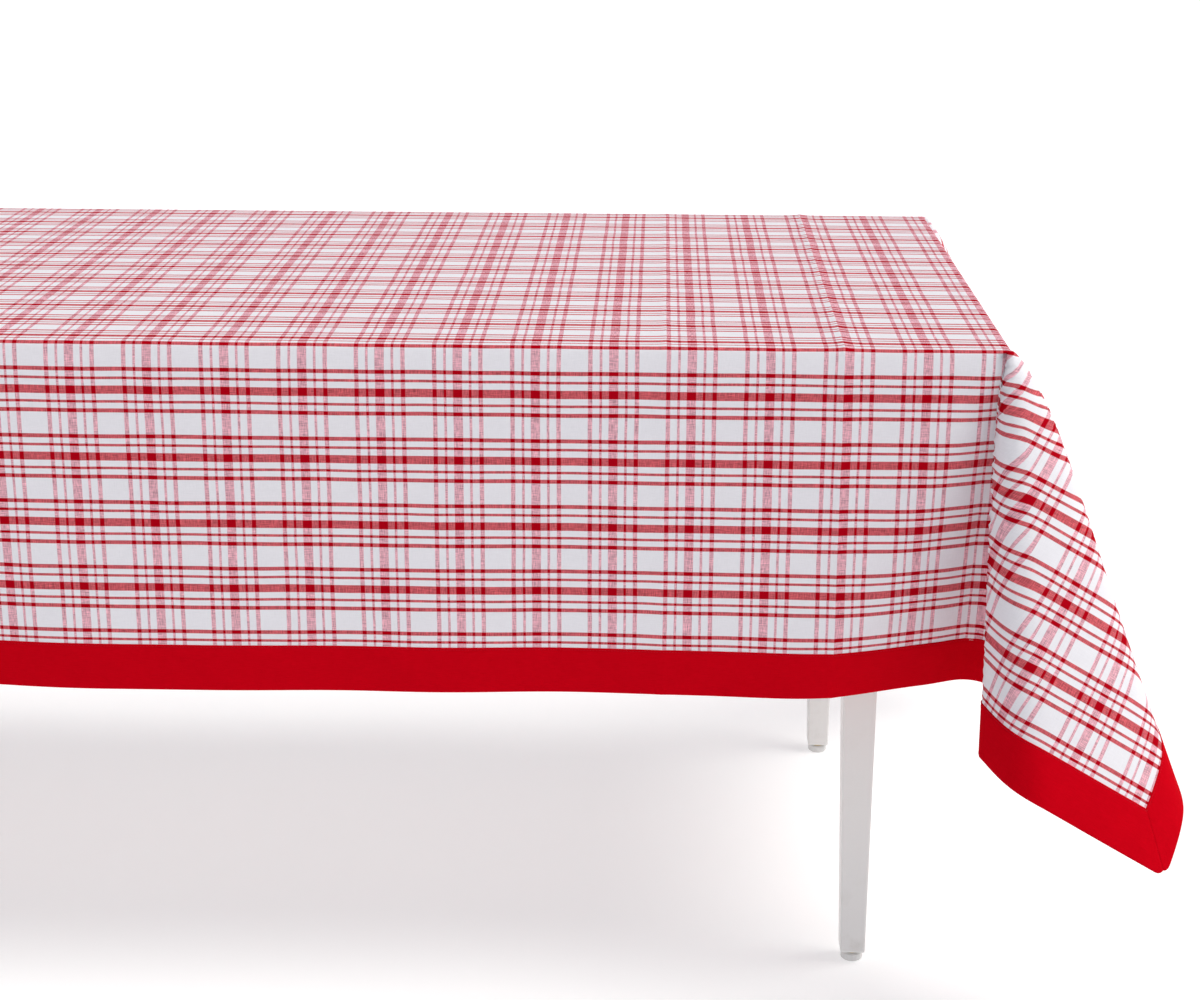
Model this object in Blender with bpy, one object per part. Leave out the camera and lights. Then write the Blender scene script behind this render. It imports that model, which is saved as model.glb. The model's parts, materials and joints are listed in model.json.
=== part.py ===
"""A bordered plaid tablecloth draped over a rectangular four-legged table.

The origin is on the floor under the middle of the table. X runs along the table, Y across it
and Z up. The cloth is worked out from its flat, cut size: every point of it is a place on the
flat cloth that the drape bends over the edges of the table top. Sizes are in metres.
"""

import math

import bmesh
import bpy
import numpy as np
from mathutils import Matrix, Vector

# Fit between pieces that touch, between the sewn edges of the cloth, and of the cloth round
# the edge of the top
GAP = 0.0003
SEAM_GAP = 0.0008
EDGE_EASE = 0.0010

# Table top
TABLE_LENGTH = 1.829
TABLE_WIDTH = 0.762
TABLE_HEIGHT = 0.737
TOP_THICKNESS = 0.022
TOP_EDGE_RADIUS = 0.004

# Legs and the frame under the top
LEG_SIZE = 0.045
LEG_TOE_SIZE = 0.028
LEG_HEAD = 0.095
LEG_INSET_END = 0.110
LEG_INSET_SIDE = 0.080
LEG_EDGE = 0.002
APRON_HEIGHT = 0.070
APRON_THICKNESS = 0.018
APRON_SETBACK = 0.004
APRON_EDGE = 0.001
BLOCK_REACH = 0.065
BLOCK_HEIGHT = 0.050

# Hanger bolts that pull the legs into the corner blocks
BOLT_RADIUS = 0.004
BOLT_IN_LEG = 0.026
BOLT_END = 0.003
NUT_RADIUS = 0.0075
NUT_HEIGHT = 0.0065

# Clips that hold the top down on the aprons
CLIP_WIDTH = 0.030
CLIP_REACH = 0.026
CLIP_DROP = 0.022
CLIP_THICKNESS = 0.002
SIDE_CLIP_SPACING = 0.700

# Levelling feet and the threaded inserts that carry them
FOOT_RADIUS = 0.0125
FOOT_HEIGHT = 0.010
FOOT_EDGE = 0.0015
STEM_RADIUS = 0.004
STEM_LENGTH = 0.034
INSERT_RADIUS = 0.0065
INSERT_LENGTH = 0.018
FLANGE_RADIUS = 0.010
FLANGE_THICKNESS = 0.0015

# Cloth
CLOTH_DROP = 0.381
BAND_WIDTH = 0.0508
PANEL_THICKNESS = 0.0015
BAND_THICKNESS = 0.0020
THREAD_THICKNESS = 0.0008
STITCH_INSET = 0.0020
WAVE_LENGTH = 0.300
WAVE_DEPTH = 0.010
WAVE_FADE = 0.120

# Half of the fold that hangs from a corner of the table, as the directions in which the cloth
# leaves the corner: tilt from straight down, in degrees, towards the end and towards the side.
# The other half mirrors it across the diagonal.
STRAIGHT_DROP = ((-90.0, 0.0), (-60.0, 0.0), (-30.0, 0.0), (-12.0, 0.0))
CORNER_FOLD = ((-4.0, 0.2), (0.4, 2.6), (-1.2, 9.0), (-2.4, 17.0), (1.5, 24.0), (10.0, 27.0), (19.6, 19.6))

# Fineness of the faceted cloth and of the round pieces
TOP_COLUMNS = 28
TOP_ROWS = 8
DROP_ROWS = 6
BEND_ROWS = 2
ROUND_SIDES = 16
FOLD_SAMPLES = 60

FULL_TURN = 2.0 * math.pi
RIGHT_ANGLE = math.radians(90.0)
END_NAMES = {-1: "left", 1: "right"}
SIDE_NAMES = {-1: "front", 1: "back"}


# ---------------------------------------------------------------- scene, materials, objects

def clear_scene():
    for old in list(bpy.data.objects):
        bpy.data.objects.remove(old, do_unlink=True)


def make_material(name, colour, roughness, metallic=0.0):
    material = bpy.data.materials.new(name)
    material.use_nodes = True
    shader = material.node_tree.nodes["Principled BSDF"]
    shader.inputs["Base Color"].default_value = (*colour, 1.0)
    shader.inputs["Roughness"].default_value = roughness
    shader.inputs["Metallic"].default_value = metallic
    return material


def make_materials():
    return {
        "plaid_cotton": make_material("plaid_cotton", (0.74, 0.42, 0.45), 0.85),
        "red_cotton": make_material("red_cotton", (0.50, 0.01, 0.03), 0.85),
        "red_thread": make_material("red_thread", (0.56, 0.02, 0.05), 0.60),
        "white_laminate": make_material("white_laminate", (0.85, 0.85, 0.84), 0.35),
        "white_paint": make_material("white_paint", (0.83, 0.83, 0.82), 0.40),
        "bare_wood": make_material("bare_wood", (0.62, 0.44, 0.27), 0.65),
        "zinc_steel": make_material("zinc_steel", (0.70, 0.70, 0.72), 0.35, 1.0),
        "brass": make_material("brass", (0.78, 0.60, 0.28), 0.35, 1.0),
        "white_nylon": make_material("white_nylon", (0.80, 0.80, 0.78), 0.50),
    }


def place(name, bm, material, location=(0.0, 0.0, 0.0), smooth_angle=None, parent=None):
    """Turn a finished bmesh into a named object whose faces point out."""
    bmesh.ops.recalc_face_normals(bm, faces=bm.faces)
    mesh = bpy.data.meshes.new(name)
    bm.to_mesh(mesh)
    bm.free()
    mesh.materials.append(material)
    if smooth_angle is not None:
        mesh.shade_smooth()
        mesh.set_sharp_from_angle(angle=math.radians(smooth_angle))
    piece = bpy.data.objects.new(name, mesh)
    piece.location = location
    bpy.context.collection.objects.link(piece)
    if parent is not None:
        piece.parent = parent
        piece.matrix_parent_inverse = Matrix.Translation(-parent.location)
    return piece


def bevel(piece, width, segments):
    modifier = piece.modifiers.new("edges", "BEVEL")
    modifier.width = width
    modifier.segments = segments
    modifier.limit_method = "ANGLE"


def cut(piece, cutter):
    modifier = piece.modifiers.new("bore", "BOOLEAN")
    modifier.operation = "DIFFERENCE"
    modifier.object = cutter
    cutter.hide_render = True
    cutter.display_type = "WIRE"


# ---------------------------------------------------------------- solids

def prism(bm, outline, low, high):
    """Upright prism on a plan outline."""
    bottom = [bm.verts.new((x, y, low)) for x, y in outline]
    top = [bm.verts.new((x, y, high)) for x, y in outline]
    bm.faces.new(bottom)
    bm.faces.new(top)
    for k in range(len(outline)):
        after = (k + 1) % len(outline)
        bm.faces.new((bottom[k], bottom[after], top[after], top[k]))


def turned(bm, profile, sides, radius_at=None, bored=False):
    """Body turned about Z from (radius, height) pairs, given from one end to the other.

    A bored body's profile goes up its outer side and down its bore. radius_at turns a
    radius and an angle into the radius there, for shapes that aren't round.
    """
    shape = radius_at or (lambda radius, angle: radius)
    rings = []
    for radius, height in profile:
        ring = []
        for k in range(sides):
            angle = FULL_TURN * k / sides
            reach = shape(radius, angle)
            ring.append(bm.verts.new((reach * math.cos(angle), reach * math.sin(angle), height)))
        rings.append(ring)
    steps = len(rings) if bored else len(rings) - 1
    for i in range(steps):
        lower = rings[i]
        upper = rings[(i + 1) % len(rings)]
        for k in range(sides):
            after = (k + 1) % sides
            bm.faces.new((lower[k], lower[after], upper[after], upper[k]))
    if not bored:
        bm.faces.new(rings[0])
        bm.faces.new(rings[-1])


def rod(bm, radius, low, high):
    turned(bm, ((radius, low), (radius, high)), ROUND_SIDES)


# ---------------------------------------------------------------- the drape of the cloth

def tilt_path(scale):
    """Directions in which the cloth leaves a corner, all the way round, as tilts in degrees."""
    fold = [(scale * end, scale * side) for end, side in CORNER_FOLD]
    half = list(STRAIGHT_DROP) + fold
    whole = half + [(side, end) for end, side in reversed(half[:-1])]
    return smooth_path(np.array(whole))


def smooth_path(points):
    """Catmull-Rom curve through the points."""
    padded = np.vstack((2 * points[0] - points[1], points, 2 * points[-1] - points[-2]))
    steps = np.linspace(0.0, 1.0, FOLD_SAMPLES, endpoint=False)[:, None]
    parts = []
    for k in range(len(points) - 1):
        a, b, c, d = padded[k:k + 4]
        parts.append(0.5 * (2 * b + (c - a) * steps + (2 * a - 5 * b + 4 * c - d) * steps ** 2
                            + (3 * b - a - 3 * c + d) * steps ** 3))
    parts.append(points[-1][None, :])
    return np.vstack(parts)


def directions(tilts):
    """Unit vectors for tilts (towards the end, towards the side) from straight down."""
    radians = np.radians(tilts)
    lean = np.maximum(np.hypot(radians[:, 0], radians[:, 1]), 1e-9)
    share = np.sin(lean) / lean
    return np.stack((radians[:, 0] * share, -radians[:, 1] * share, -np.cos(lean)), axis=1)


def path_angles(vectors):
    """Angle travelled along the directions so far, in radians."""
    chords = np.linalg.norm(np.diff(vectors, axis=0), axis=1)
    turns = 2.0 * np.arcsin(np.minimum(chords / 2.0, 1.0))
    return np.concatenate(([0.0], np.cumsum(turns)))


def solve_fold():
    """Size the corner fold so that it takes up the whole width of cloth that hangs there.

    Flat cloth covers three right angles outside a corner of the table, so a path of that
    length keeps the drape free of stretch.
    """
    low, high = 0.5, 1.5
    for _ in range(40):
        scale = 0.5 * (low + high)
        length = path_angles(directions(tilt_path(scale)))[-1]
        if length > 3.0 * RIGHT_ANGLE:
            high = scale
        else:
            low = scale
    vectors = directions(tilt_path(scale))
    return path_angles(vectors) - RIGHT_ANGLE, vectors


FOLD_ANGLES, FOLD_VECTORS = solve_fold()

TOP_HALF = Vector((TABLE_LENGTH / 2, TABLE_WIDTH / 2)) - Vector((1.0, 1.0)) * (TOP_EDGE_RADIUS - EDGE_EASE)
BEND_RADIUS = TOP_EDGE_RADIUS + GAP
BEND_LENGTH = BEND_RADIUS * RIGHT_ANGLE
PANEL_REACH = CLOTH_DROP - BAND_WIDTH


def fold_direction(angle):
    """Direction of the cloth at a flat angle about the corner; 0 is square off the side."""
    return Vector([float(np.interp(angle, FOLD_ANGLES, FOLD_VECTORS[:, axis])) for axis in range(3)])


def smooth_step(value):
    value = min(max(value, 0.0), 1.0)
    return value * value * (3.0 - 2.0 * value)


def wave(along, drop, half):
    """How far the gentle waves of a drop stand out, more towards the hem."""
    fade = smooth_step((half - abs(along)) / WAVE_FADE)
    swell = 0.5 + 0.5 * math.cos(FULL_TURN * along / WAVE_LENGTH)
    return WAVE_DEPTH * fade * swell * (max(drop, 0.0) / CLOTH_DROP) ** 1.5


def drape_quarter(across_end, across_side):
    """Place of a cloth point beyond the flat top at the +X, -Y corner.

    Both values are flat distances past the edges of the flat top; one of them may be negative.
    """
    reach = math.hypot(across_end, across_side)
    angle = math.atan2(across_end, across_side)
    bend = min(reach / BEND_RADIUS, RIGHT_ANGLE)
    outward = BEND_RADIUS * math.sin(bend)
    hanging = BEND_RADIUS * (1.0 - math.cos(bend)) + max(reach - BEND_LENGTH, 0.0)
    corner = min(max(angle, 0.0), RIGHT_ANGLE)
    return Vector((outward * math.sin(corner), -outward * math.cos(corner), 0.0)) \
        + fold_direction(angle) * hanging


def drape(u, v):
    """Place in the world of the cloth's lower face, from flat distances off its middle."""
    past_end = abs(u) - TOP_HALF.x
    past_side = abs(v) - TOP_HALF.y
    level = TABLE_HEIGHT + GAP
    if past_end <= 0.0 and past_side <= 0.0:
        return Vector((u, v, level))
    if past_end <= 0.0:
        point = drape_straight(past_end, past_side)
        point.y -= wave(u, past_side, TOP_HALF.x)
    elif past_side <= 0.0:
        point = mirror_diagonal(drape_straight(past_side, past_end))
        point.x += wave(v, past_end, TOP_HALF.y)
    else:
        point = drape_quarter(past_end, past_side)
    east = math.copysign(1.0, u)
    north = math.copysign(1.0, v)
    return Vector((east * (TOP_HALF.x + point.x), north * (TOP_HALF.y - point.y), level + point.z))


def mirror_diagonal(point):
    return Vector((-point.y, -point.x, point.z))


def drape_straight(before_corner, past_edge):
    """A drop beside a corner: the bend runs along the edge and the fold only shapes its end."""
    bend = min(past_edge / BEND_RADIUS, RIGHT_ANGLE)
    outward = BEND_RADIUS * math.sin(bend)
    descent = BEND_RADIUS * (1.0 - math.cos(bend)) + max(past_edge - BEND_LENGTH, 0.0)
    hanging = math.hypot(before_corner, descent)
    angle = math.atan2(before_corner, descent)
    return Vector((0.0, -outward, 0.0)) + fold_direction(angle) * hanging


def cloth_normal(u, v):
    step = 0.002
    along = drape(u + step, v) - drape(u - step, v)
    across = drape(u, v + step) - drape(u, v - step)
    return along.cross(across).normalized()


def on_cloth(u, v, height):
    """Point at a height above the cloth's lower face."""
    return drape(u, v) + cloth_normal(u, v) * height


# ---------------------------------------------------------------- cloth solids

def spaced(low, high, count):
    return [low + (high - low) * k / count for k in range(count + 1)]


def half_lines(top_half, top_count):
    """Flat positions of the cloth's grid lines along one direction, up to the panel's edge."""
    bend = [top_half + BEND_LENGTH * (k + 1) / BEND_ROWS for k in range(BEND_ROWS)]
    drop = spaced(bend[-1], top_half + PANEL_REACH, DROP_ROWS)[1:]
    beyond = bend + drop
    return [-value for value in reversed(beyond)] + spaced(-top_half, top_half, top_count) + beyond


def runs_outward(place_, opposite):
    """Whether the line between two flat places runs towards a corner of the cloth."""
    return (opposite[0] - place_[0]) * (opposite[1] - place_[1]) * place_[0] * place_[1] > 0.0


def sheet_body(bm, places, low, high):
    """Closed sheet between two heights above the cloth's lower face, on a grid of flat places.

    Each cell is split along the fold that runs out to the nearest corner of the cloth.
    """
    lower = [[bm.verts.new(on_cloth(u, v, low)) for u, v in row] for row in places]
    upper = [[bm.verts.new(on_cloth(u, v, high)) for u, v in row] for row in places]
    rows = len(places)
    columns = len(places[0])
    for i in range(rows - 1):
        for j in range(columns - 1):
            cell = [(i, j), (i, j + 1), (i + 1, j + 1), (i + 1, j)]
            if not runs_outward(places[i][j], places[i + 1][j + 1]):
                cell = cell[1:] + cell[:1]
            for grid in (lower, upper):
                a, b, c, d = (grid[m][n] for m, n in cell)
                bm.faces.new((a, b, c))
                bm.faces.new((a, c, d))
    rim = [(0, j) for j in range(columns)]
    rim += [(i, columns - 1) for i in range(1, rows)]
    rim += [(rows - 1, j) for j in range(columns - 2, -1, -1)]
    rim += [(i, 0) for i in range(rows - 2, 0, -1)]
    for k, (i, j) in enumerate(rim):
        m, n = rim[(k + 1) % len(rim)]
        bm.faces.new((lower[i][j], lower[m][n], upper[m][n], upper[i][j]))


def thread_body(bm, places, step):
    """Square thread that lies on the bands along flat places; step is the flat way across it."""
    low = BAND_THICKNESS + GAP
    high = low + THREAD_THICKNESS
    rings = []
    for u, v in places:
        side = Vector(step) * THREAD_THICKNESS / 2
        near = (u - side.x, v - side.y)
        far = (u + side.x, v + side.y)
        corners = ((near, low), (far, low), (far, high), (near, high))
        rings.append([bm.verts.new(on_cloth(*place_, height)) for place_, height in corners])
    for before, after in zip(rings, rings[1:]):
        for k in range(4):
            bm.faces.new((before[k], before[(k + 1) % 4], after[(k + 1) % 4], after[k]))
    bm.faces.new(rings[0])
    bm.faces.new(rings[-1])


def make_panel(materials, parent):
    columns = half_lines(TOP_HALF.x, TOP_COLUMNS)
    rows = half_lines(TOP_HALF.y, TOP_ROWS)
    bm = bmesh.new()
    sheet_body(bm, [[(u, v) for u in columns] for v in rows], 0.0, PANEL_THICKNESS)
    place("plaid_panel", bm, materials["plaid_cotton"], smooth_angle=60, parent=parent)


def band_rows():
    """Flat distances past the top's edge of a band's grid lines, its stitch line among them."""
    inner = PANEL_REACH + SEAM_GAP
    return (inner, PANEL_REACH + STITCH_INSET, PANEL_REACH + BAND_WIDTH / 2, CLOTH_DROP)


def band_places(lines, half, reach):
    """Flat places along a band at one distance past the edge, cut to its mitres."""
    tip = half + reach - SEAM_GAP
    middle = (lines[-2] + tip) / 2
    return [-tip, -middle] + lines[1:-1] + [middle, tip]


def make_band(name, lines, half, across_half, facing, lengthwise, materials, parent):
    """One border band and its row of topstitch."""
    grid = []
    for reach in band_rows():
        across = facing * (across_half + reach)
        line = band_places(lines, half, reach)
        grid.append([(along, across) if lengthwise else (across, along) for along in line])
    bm = bmesh.new()
    sheet_body(bm, grid, 0.0, BAND_THICKNESS)
    place("border_band_" + name, bm, materials["red_cotton"], smooth_angle=60, parent=parent)

    stitch = bmesh.new()
    inside = grid[1][1:-1]
    thread_body(stitch, inside, (0.0, 1.0) if lengthwise else (1.0, 0.0))
    place("topstitch_" + name, stitch, materials["red_thread"], parent=parent)


def make_bands(materials, parent):
    columns = half_lines(TOP_HALF.x, TOP_COLUMNS)
    rows = half_lines(TOP_HALF.y, TOP_ROWS)
    for facing, name in SIDE_NAMES.items():
        make_band(name, columns, TOP_HALF.x, TOP_HALF.y, facing, True, materials, parent)
    for facing, name in END_NAMES.items():
        make_band(name, rows, TOP_HALF.y, TOP_HALF.x, facing, False, materials, parent)


def make_mitre_seams(materials, parent):
    """The seams that close the bands' mitred corners."""
    start = PANEL_REACH + 2 * STITCH_INSET
    for east, end in END_NAMES.items():
        for north, side in SIDE_NAMES.items():
            reaches = spaced(start, CLOTH_DROP - STITCH_INSET, 3)
            line = [(east * (TOP_HALF.x + reach), north * (TOP_HALF.y + reach)) for reach in reaches]
            across = Vector((-east, north)).normalized()
            bm = bmesh.new()
            thread_body(bm, line, across)
            place(f"mitre_seam_{side}_{end}", bm, materials["red_thread"], parent=parent)


def make_cloth(materials):
    carrier = bpy.data.objects.new("cloth_lift", None)
    carrier.location = (0.0, 0.0, TABLE_HEIGHT)
    bpy.context.collection.objects.link(carrier)
    make_panel(materials, carrier)
    make_bands(materials, carrier)
    make_mitre_seams(materials, carrier)


# ---------------------------------------------------------------- table

UNDERSIDE = TABLE_HEIGHT - TOP_THICKNESS
FRAME_TOP = UNDERSIDE - GAP
LEG_CORNER = Vector((TABLE_LENGTH / 2 - LEG_INSET_END, TABLE_WIDTH / 2 - LEG_INSET_SIDE))
LEG_BOTTOM = FOOT_HEIGHT + GAP + FLANGE_THICKNESS + GAP
INSERT_BORE = INSERT_RADIUS + GAP
APRON_INNER = APRON_SETBACK + APRON_THICKNESS
BOLT_LEVEL = FRAME_TOP - APRON_HEIGHT / 2


def make_table_top(materials):
    bm = bmesh.new()
    x, y = TABLE_LENGTH / 2, TABLE_WIDTH / 2
    prism(bm, ((-x, -y), (x, -y), (x, y), (-x, y)), UNDERSIDE, TABLE_HEIGHT)
    top = place("table_top", bm, materials["white_laminate"], smooth_angle=40)
    bevel(top, TOP_EDGE_RADIUS, 3)


def toward_middle(east, north, points):
    """Plan points given from a leg's outer corner towards the middle of the table."""
    return [(-east * x, -north * y) for x, y in points]


def corner_location(east, north, level=0.0):
    return (east * LEG_CORNER.x, north * LEG_CORNER.y, level)


def make_leg(east, north, name, materials):
    """A leg with a square head, tapered on its two inner faces, bored for its bolt and insert."""
    levels = ((FRAME_TOP, LEG_SIZE), (FRAME_TOP - LEG_HEAD, LEG_SIZE), (LEG_BOTTOM, LEG_TOE_SIZE))
    bm = bmesh.new()
    rings = []
    for level, size in levels:
        square = toward_middle(east, north, ((0, 0), (size, 0), (size, size), (0, size)))
        rings.append([bm.verts.new((x, y, level)) for x, y in square])
    for upper, lower in zip(rings, rings[1:]):
        for k in range(4):
            bm.faces.new((upper[k], upper[(k + 1) % 4], lower[(k + 1) % 4], lower[k]))
    bm.faces.new(rings[0])
    bm.faces.new(rings[-1])
    leg = place("leg_" + name, bm, materials["white_paint"], corner_location(east, north), 40)
    bevel(leg, LEG_EDGE, 2)

    bore = bmesh.new()
    depth = FOOT_HEIGHT + STEM_LENGTH + 2 * GAP
    rod(bore, INSERT_BORE, LEG_BOTTOM - LEG_EDGE, depth)
    cutter = place("insert_bore_" + name, bore, materials["white_paint"], foot_location(east, north))
    cut(leg, cutter)
    cut(leg, bolt_cutter("leg_bolt_bore_" + name, east, north, materials))


def bolt_frame(east, north):
    """Stands a body turned about Z on the bolt's axis, pointing to the middle of the table."""
    heading = Vector((-east, -north, 0.0)).normalized()
    turn = heading.to_track_quat("Z", "Y").to_matrix().to_4x4()
    return Matrix.Translation(corner_location(east, north, BOLT_LEVEL)) @ turn


# Distances from a leg's outer corner along the bolt
LEG_EXIT = LEG_SIZE * math.sqrt(2.0)
BLOCK_FACE = (LEG_SIZE + BLOCK_REACH + APRON_INNER + GAP) / math.sqrt(2.0)
BOLT_START = LEG_EXIT - BOLT_IN_LEG


def bolt_cutter(name, east, north, materials):
    bm = bmesh.new()
    rod(bm, BOLT_RADIUS + GAP, BOLT_START - GAP, BLOCK_FACE + NUT_HEIGHT)
    cutter = place(name, bm, materials["zinc_steel"])
    cutter.matrix_world = bolt_frame(east, north)
    return cutter


def hexagon(radius, angle):
    """Radius of a hexagon with the given corner radius."""
    sector = math.radians(60.0)
    offset = (angle % sector) - sector / 2
    return radius * math.cos(sector / 2) / math.cos(offset)


def bolt_shape(radius, angle):
    return hexagon(radius, angle) if radius > BOLT_RADIUS else radius


def make_bolt(east, north, name, materials):
    seat = BLOCK_FACE + GAP
    end = seat + NUT_HEIGHT
    profile = (
        (BOLT_RADIUS, BOLT_START),
        (BOLT_RADIUS, seat),
        (NUT_RADIUS, seat),
        (NUT_RADIUS, end),
        (BOLT_RADIUS, end),
        (BOLT_RADIUS, end + BOLT_END),
    )
    bm = bmesh.new()
    turned(bm, profile, 12, radius_at=bolt_shape)
    bolt = place("leg_bolt_" + name, bm, materials["zinc_steel"], smooth_angle=40)
    bolt.matrix_world = bolt_frame(east, north)


def make_corner_block(east, north, name, materials):
    """Block notched round the leg's inner corner, glued and bolted between two aprons."""
    near = APRON_INNER + GAP
    notch = LEG_SIZE + GAP
    far = LEG_SIZE + BLOCK_REACH
    outline = ((notch, near), (far, near), (near, far), (near, notch), (notch, notch))
    middle = BOLT_LEVEL
    bm = bmesh.new()
    prism(bm, toward_middle(east, north, outline), middle - BLOCK_HEIGHT / 2, middle + BLOCK_HEIGHT / 2)
    block = place("corner_block_" + name, bm, materials["bare_wood"], corner_location(east, north))
    cut(block, bolt_cutter("block_bolt_bore_" + name, east, north, materials))


def foot_location(east, north, level=0.0):
    middle = LEG_TOE_SIZE / 2
    return (east * (LEG_CORNER.x - middle), north * (LEG_CORNER.y - middle), level)


def make_foot(east, north, name, materials):
    """Levelling foot: a glide with a threaded stem, standing on the floor, screwed right in."""
    profile = (
        (FOOT_RADIUS - FOOT_EDGE, 0.0),
        (FOOT_RADIUS, FOOT_EDGE),
        (FOOT_RADIUS, FOOT_HEIGHT - FOOT_EDGE),
        (FOOT_RADIUS - FOOT_EDGE, FOOT_HEIGHT),
        (STEM_RADIUS, FOOT_HEIGHT),
        (STEM_RADIUS, FOOT_HEIGHT + STEM_LENGTH),
    )
    bm = bmesh.new()
    turned(bm, profile, ROUND_SIDES)
    place("levelling_foot_" + name, bm, materials["white_nylon"], foot_location(east, north), 40)


def make_insert(east, north, name, materials):
    """Flanged threaded insert in the leg's end."""
    bottom = FOOT_HEIGHT + GAP
    bore = STEM_RADIUS + GAP
    profile = (
        (bore, bottom),
        (FLANGE_RADIUS, bottom),
        (FLANGE_RADIUS, bottom + FLANGE_THICKNESS),
        (INSERT_RADIUS, bottom + FLANGE_THICKNESS),
        (INSERT_RADIUS, bottom + INSERT_LENGTH),
        (bore, bottom + INSERT_LENGTH),
    )
    bm = bmesh.new()
    turned(bm, profile, ROUND_SIDES, bored=True)
    place("foot_insert_" + name, bm, materials["brass"], foot_location(east, north), 40)


def make_corners(materials):
    for east, end in END_NAMES.items():
        for north, side in SIDE_NAMES.items():
            name = f"{side}_{end}"
            make_leg(east, north, name, materials)
            make_bolt(east, north, name, materials)
            make_corner_block(east, north, name, materials)
            make_insert(east, north, name, materials)
            make_foot(east, north, name, materials)


def box(bm, centre, size):
    x, y = centre[0], centre[1]
    dx, dy = size[0] / 2, size[1] / 2
    outline = ((x - dx, y - dy), (x + dx, y - dy), (x + dx, y + dy), (x - dx, y + dy))
    prism(bm, outline, centre[2] - size[2] / 2, centre[2] + size[2] / 2)


def make_aprons(materials):
    """Rails between the legs, set back from the legs' outer faces."""
    clear_x = 2 * (LEG_CORNER.x - LEG_SIZE - GAP)
    clear_y = 2 * (LEG_CORNER.y - LEG_SIZE - GAP)
    middle = APRON_SETBACK + APRON_THICKNESS / 2
    level = FRAME_TOP - APRON_HEIGHT / 2
    for north, side in SIDE_NAMES.items():
        bm = bmesh.new()
        box(bm, (0.0, 0.0, 0.0), (clear_x, APRON_THICKNESS, APRON_HEIGHT))
        rail = place("apron_" + side, bm, materials["white_paint"], (0.0, north * (LEG_CORNER.y - middle), level))
        bevel(rail, APRON_EDGE, 1)
    for east, end in END_NAMES.items():
        bm = bmesh.new()
        box(bm, (0.0, 0.0, 0.0), (APRON_THICKNESS, clear_y, APRON_HEIGHT))
        rail = place("apron_" + end, bm, materials["white_paint"], (east * (LEG_CORNER.x - middle), 0.0, level))
        bevel(rail, APRON_EDGE, 1)


def make_clip(name, heading, location, materials):
    """Angle clip: one arm under the top, one against the apron's inner face."""
    arm = ((0, 0), (CLIP_REACH, 0), (CLIP_REACH, -CLIP_THICKNESS), (CLIP_THICKNESS, -CLIP_THICKNESS),
           (CLIP_THICKNESS, -CLIP_DROP), (0, -CLIP_DROP))
    bm = bmesh.new()
    prism(bm, arm, -CLIP_WIDTH / 2, CLIP_WIDTH / 2)
    clip = place(name, bm, materials["zinc_steel"])
    outward = Vector((*heading, 0.0))
    up = Vector((0.0, 0.0, 1.0))
    along = outward.cross(up)
    turn = Matrix((outward, up, along)).transposed().to_4x4()
    clip.matrix_world = Matrix.Translation(location) @ turn


def make_clips(materials):
    inner = APRON_INNER + GAP
    for north, side in SIDE_NAMES.items():
        for east, end in END_NAMES.items():
            spot = (east * SIDE_CLIP_SPACING / 2, north * (LEG_CORNER.y - inner), FRAME_TOP)
            make_clip(f"top_clip_{side}_{end}", (0.0, -north), spot, materials)
    for east, end in END_NAMES.items():
        make_clip(f"top_clip_{end}", (-east, 0.0), (east * (LEG_CORNER.x - inner), 0.0, FRAME_TOP), materials)


def main():
    clear_scene()
    materials = make_materials()
    make_table_top(materials)
    make_aprons(materials)
    make_corners(materials)
    make_clips(materials)
    make_cloth(materials)


main()
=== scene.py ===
"""An oblong plaid tablecloth with a mitred red border, draped over a plain four-legged table.

The cloth is one sheet that can't stretch. It lies on the table top, rolls over the edges and hangs
in four drops, and at each corner of the table the spare cloth stands out as a cone-shaped fold.
Every piece of it is placed by its own flat coordinates: `along` the table's length and `across` its
width, in metres from the middle of the cut cloth. The table's own nodes only get their finishes.
"""

import json
import logging
import math
from dataclasses import dataclass, field
from enum import Enum
from typing import Any, Iterable

import bpy
import numpy as np
from mathutils import Matrix, Vector


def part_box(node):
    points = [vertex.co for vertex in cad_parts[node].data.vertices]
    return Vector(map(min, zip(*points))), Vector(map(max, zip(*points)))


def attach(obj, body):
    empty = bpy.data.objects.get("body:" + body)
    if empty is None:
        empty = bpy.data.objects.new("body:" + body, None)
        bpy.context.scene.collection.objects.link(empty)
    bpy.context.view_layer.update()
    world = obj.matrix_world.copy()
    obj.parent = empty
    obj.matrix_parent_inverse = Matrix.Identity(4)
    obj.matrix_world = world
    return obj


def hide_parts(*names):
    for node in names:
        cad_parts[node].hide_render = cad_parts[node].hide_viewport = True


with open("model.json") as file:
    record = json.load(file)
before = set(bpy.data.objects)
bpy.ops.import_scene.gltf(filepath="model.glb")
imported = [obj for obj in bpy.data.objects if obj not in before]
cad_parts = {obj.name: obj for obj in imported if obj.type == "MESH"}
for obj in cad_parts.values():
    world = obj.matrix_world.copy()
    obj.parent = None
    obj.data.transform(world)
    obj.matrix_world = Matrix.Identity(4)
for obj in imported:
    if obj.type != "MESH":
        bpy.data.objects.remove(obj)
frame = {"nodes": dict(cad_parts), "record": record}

log = logging.getLogger("tablecloth")

Colour = tuple[float, float, float]
Array = np.ndarray

QUARTER_TURN = math.pi / 2
TINY = 1e-12
FLAT_MAP = "flat"
CLOTH_BODY = "cloth"


class Side(Enum):
    """A side of the table, with the direction it faces."""

    FRONT = (0, -1)
    BACK = (0, 1)
    LEFT = (-1, 0)
    RIGHT = (1, 0)

    @property
    def label(self) -> str:
        """The side's word in node names."""
        return self.name.lower()


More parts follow.
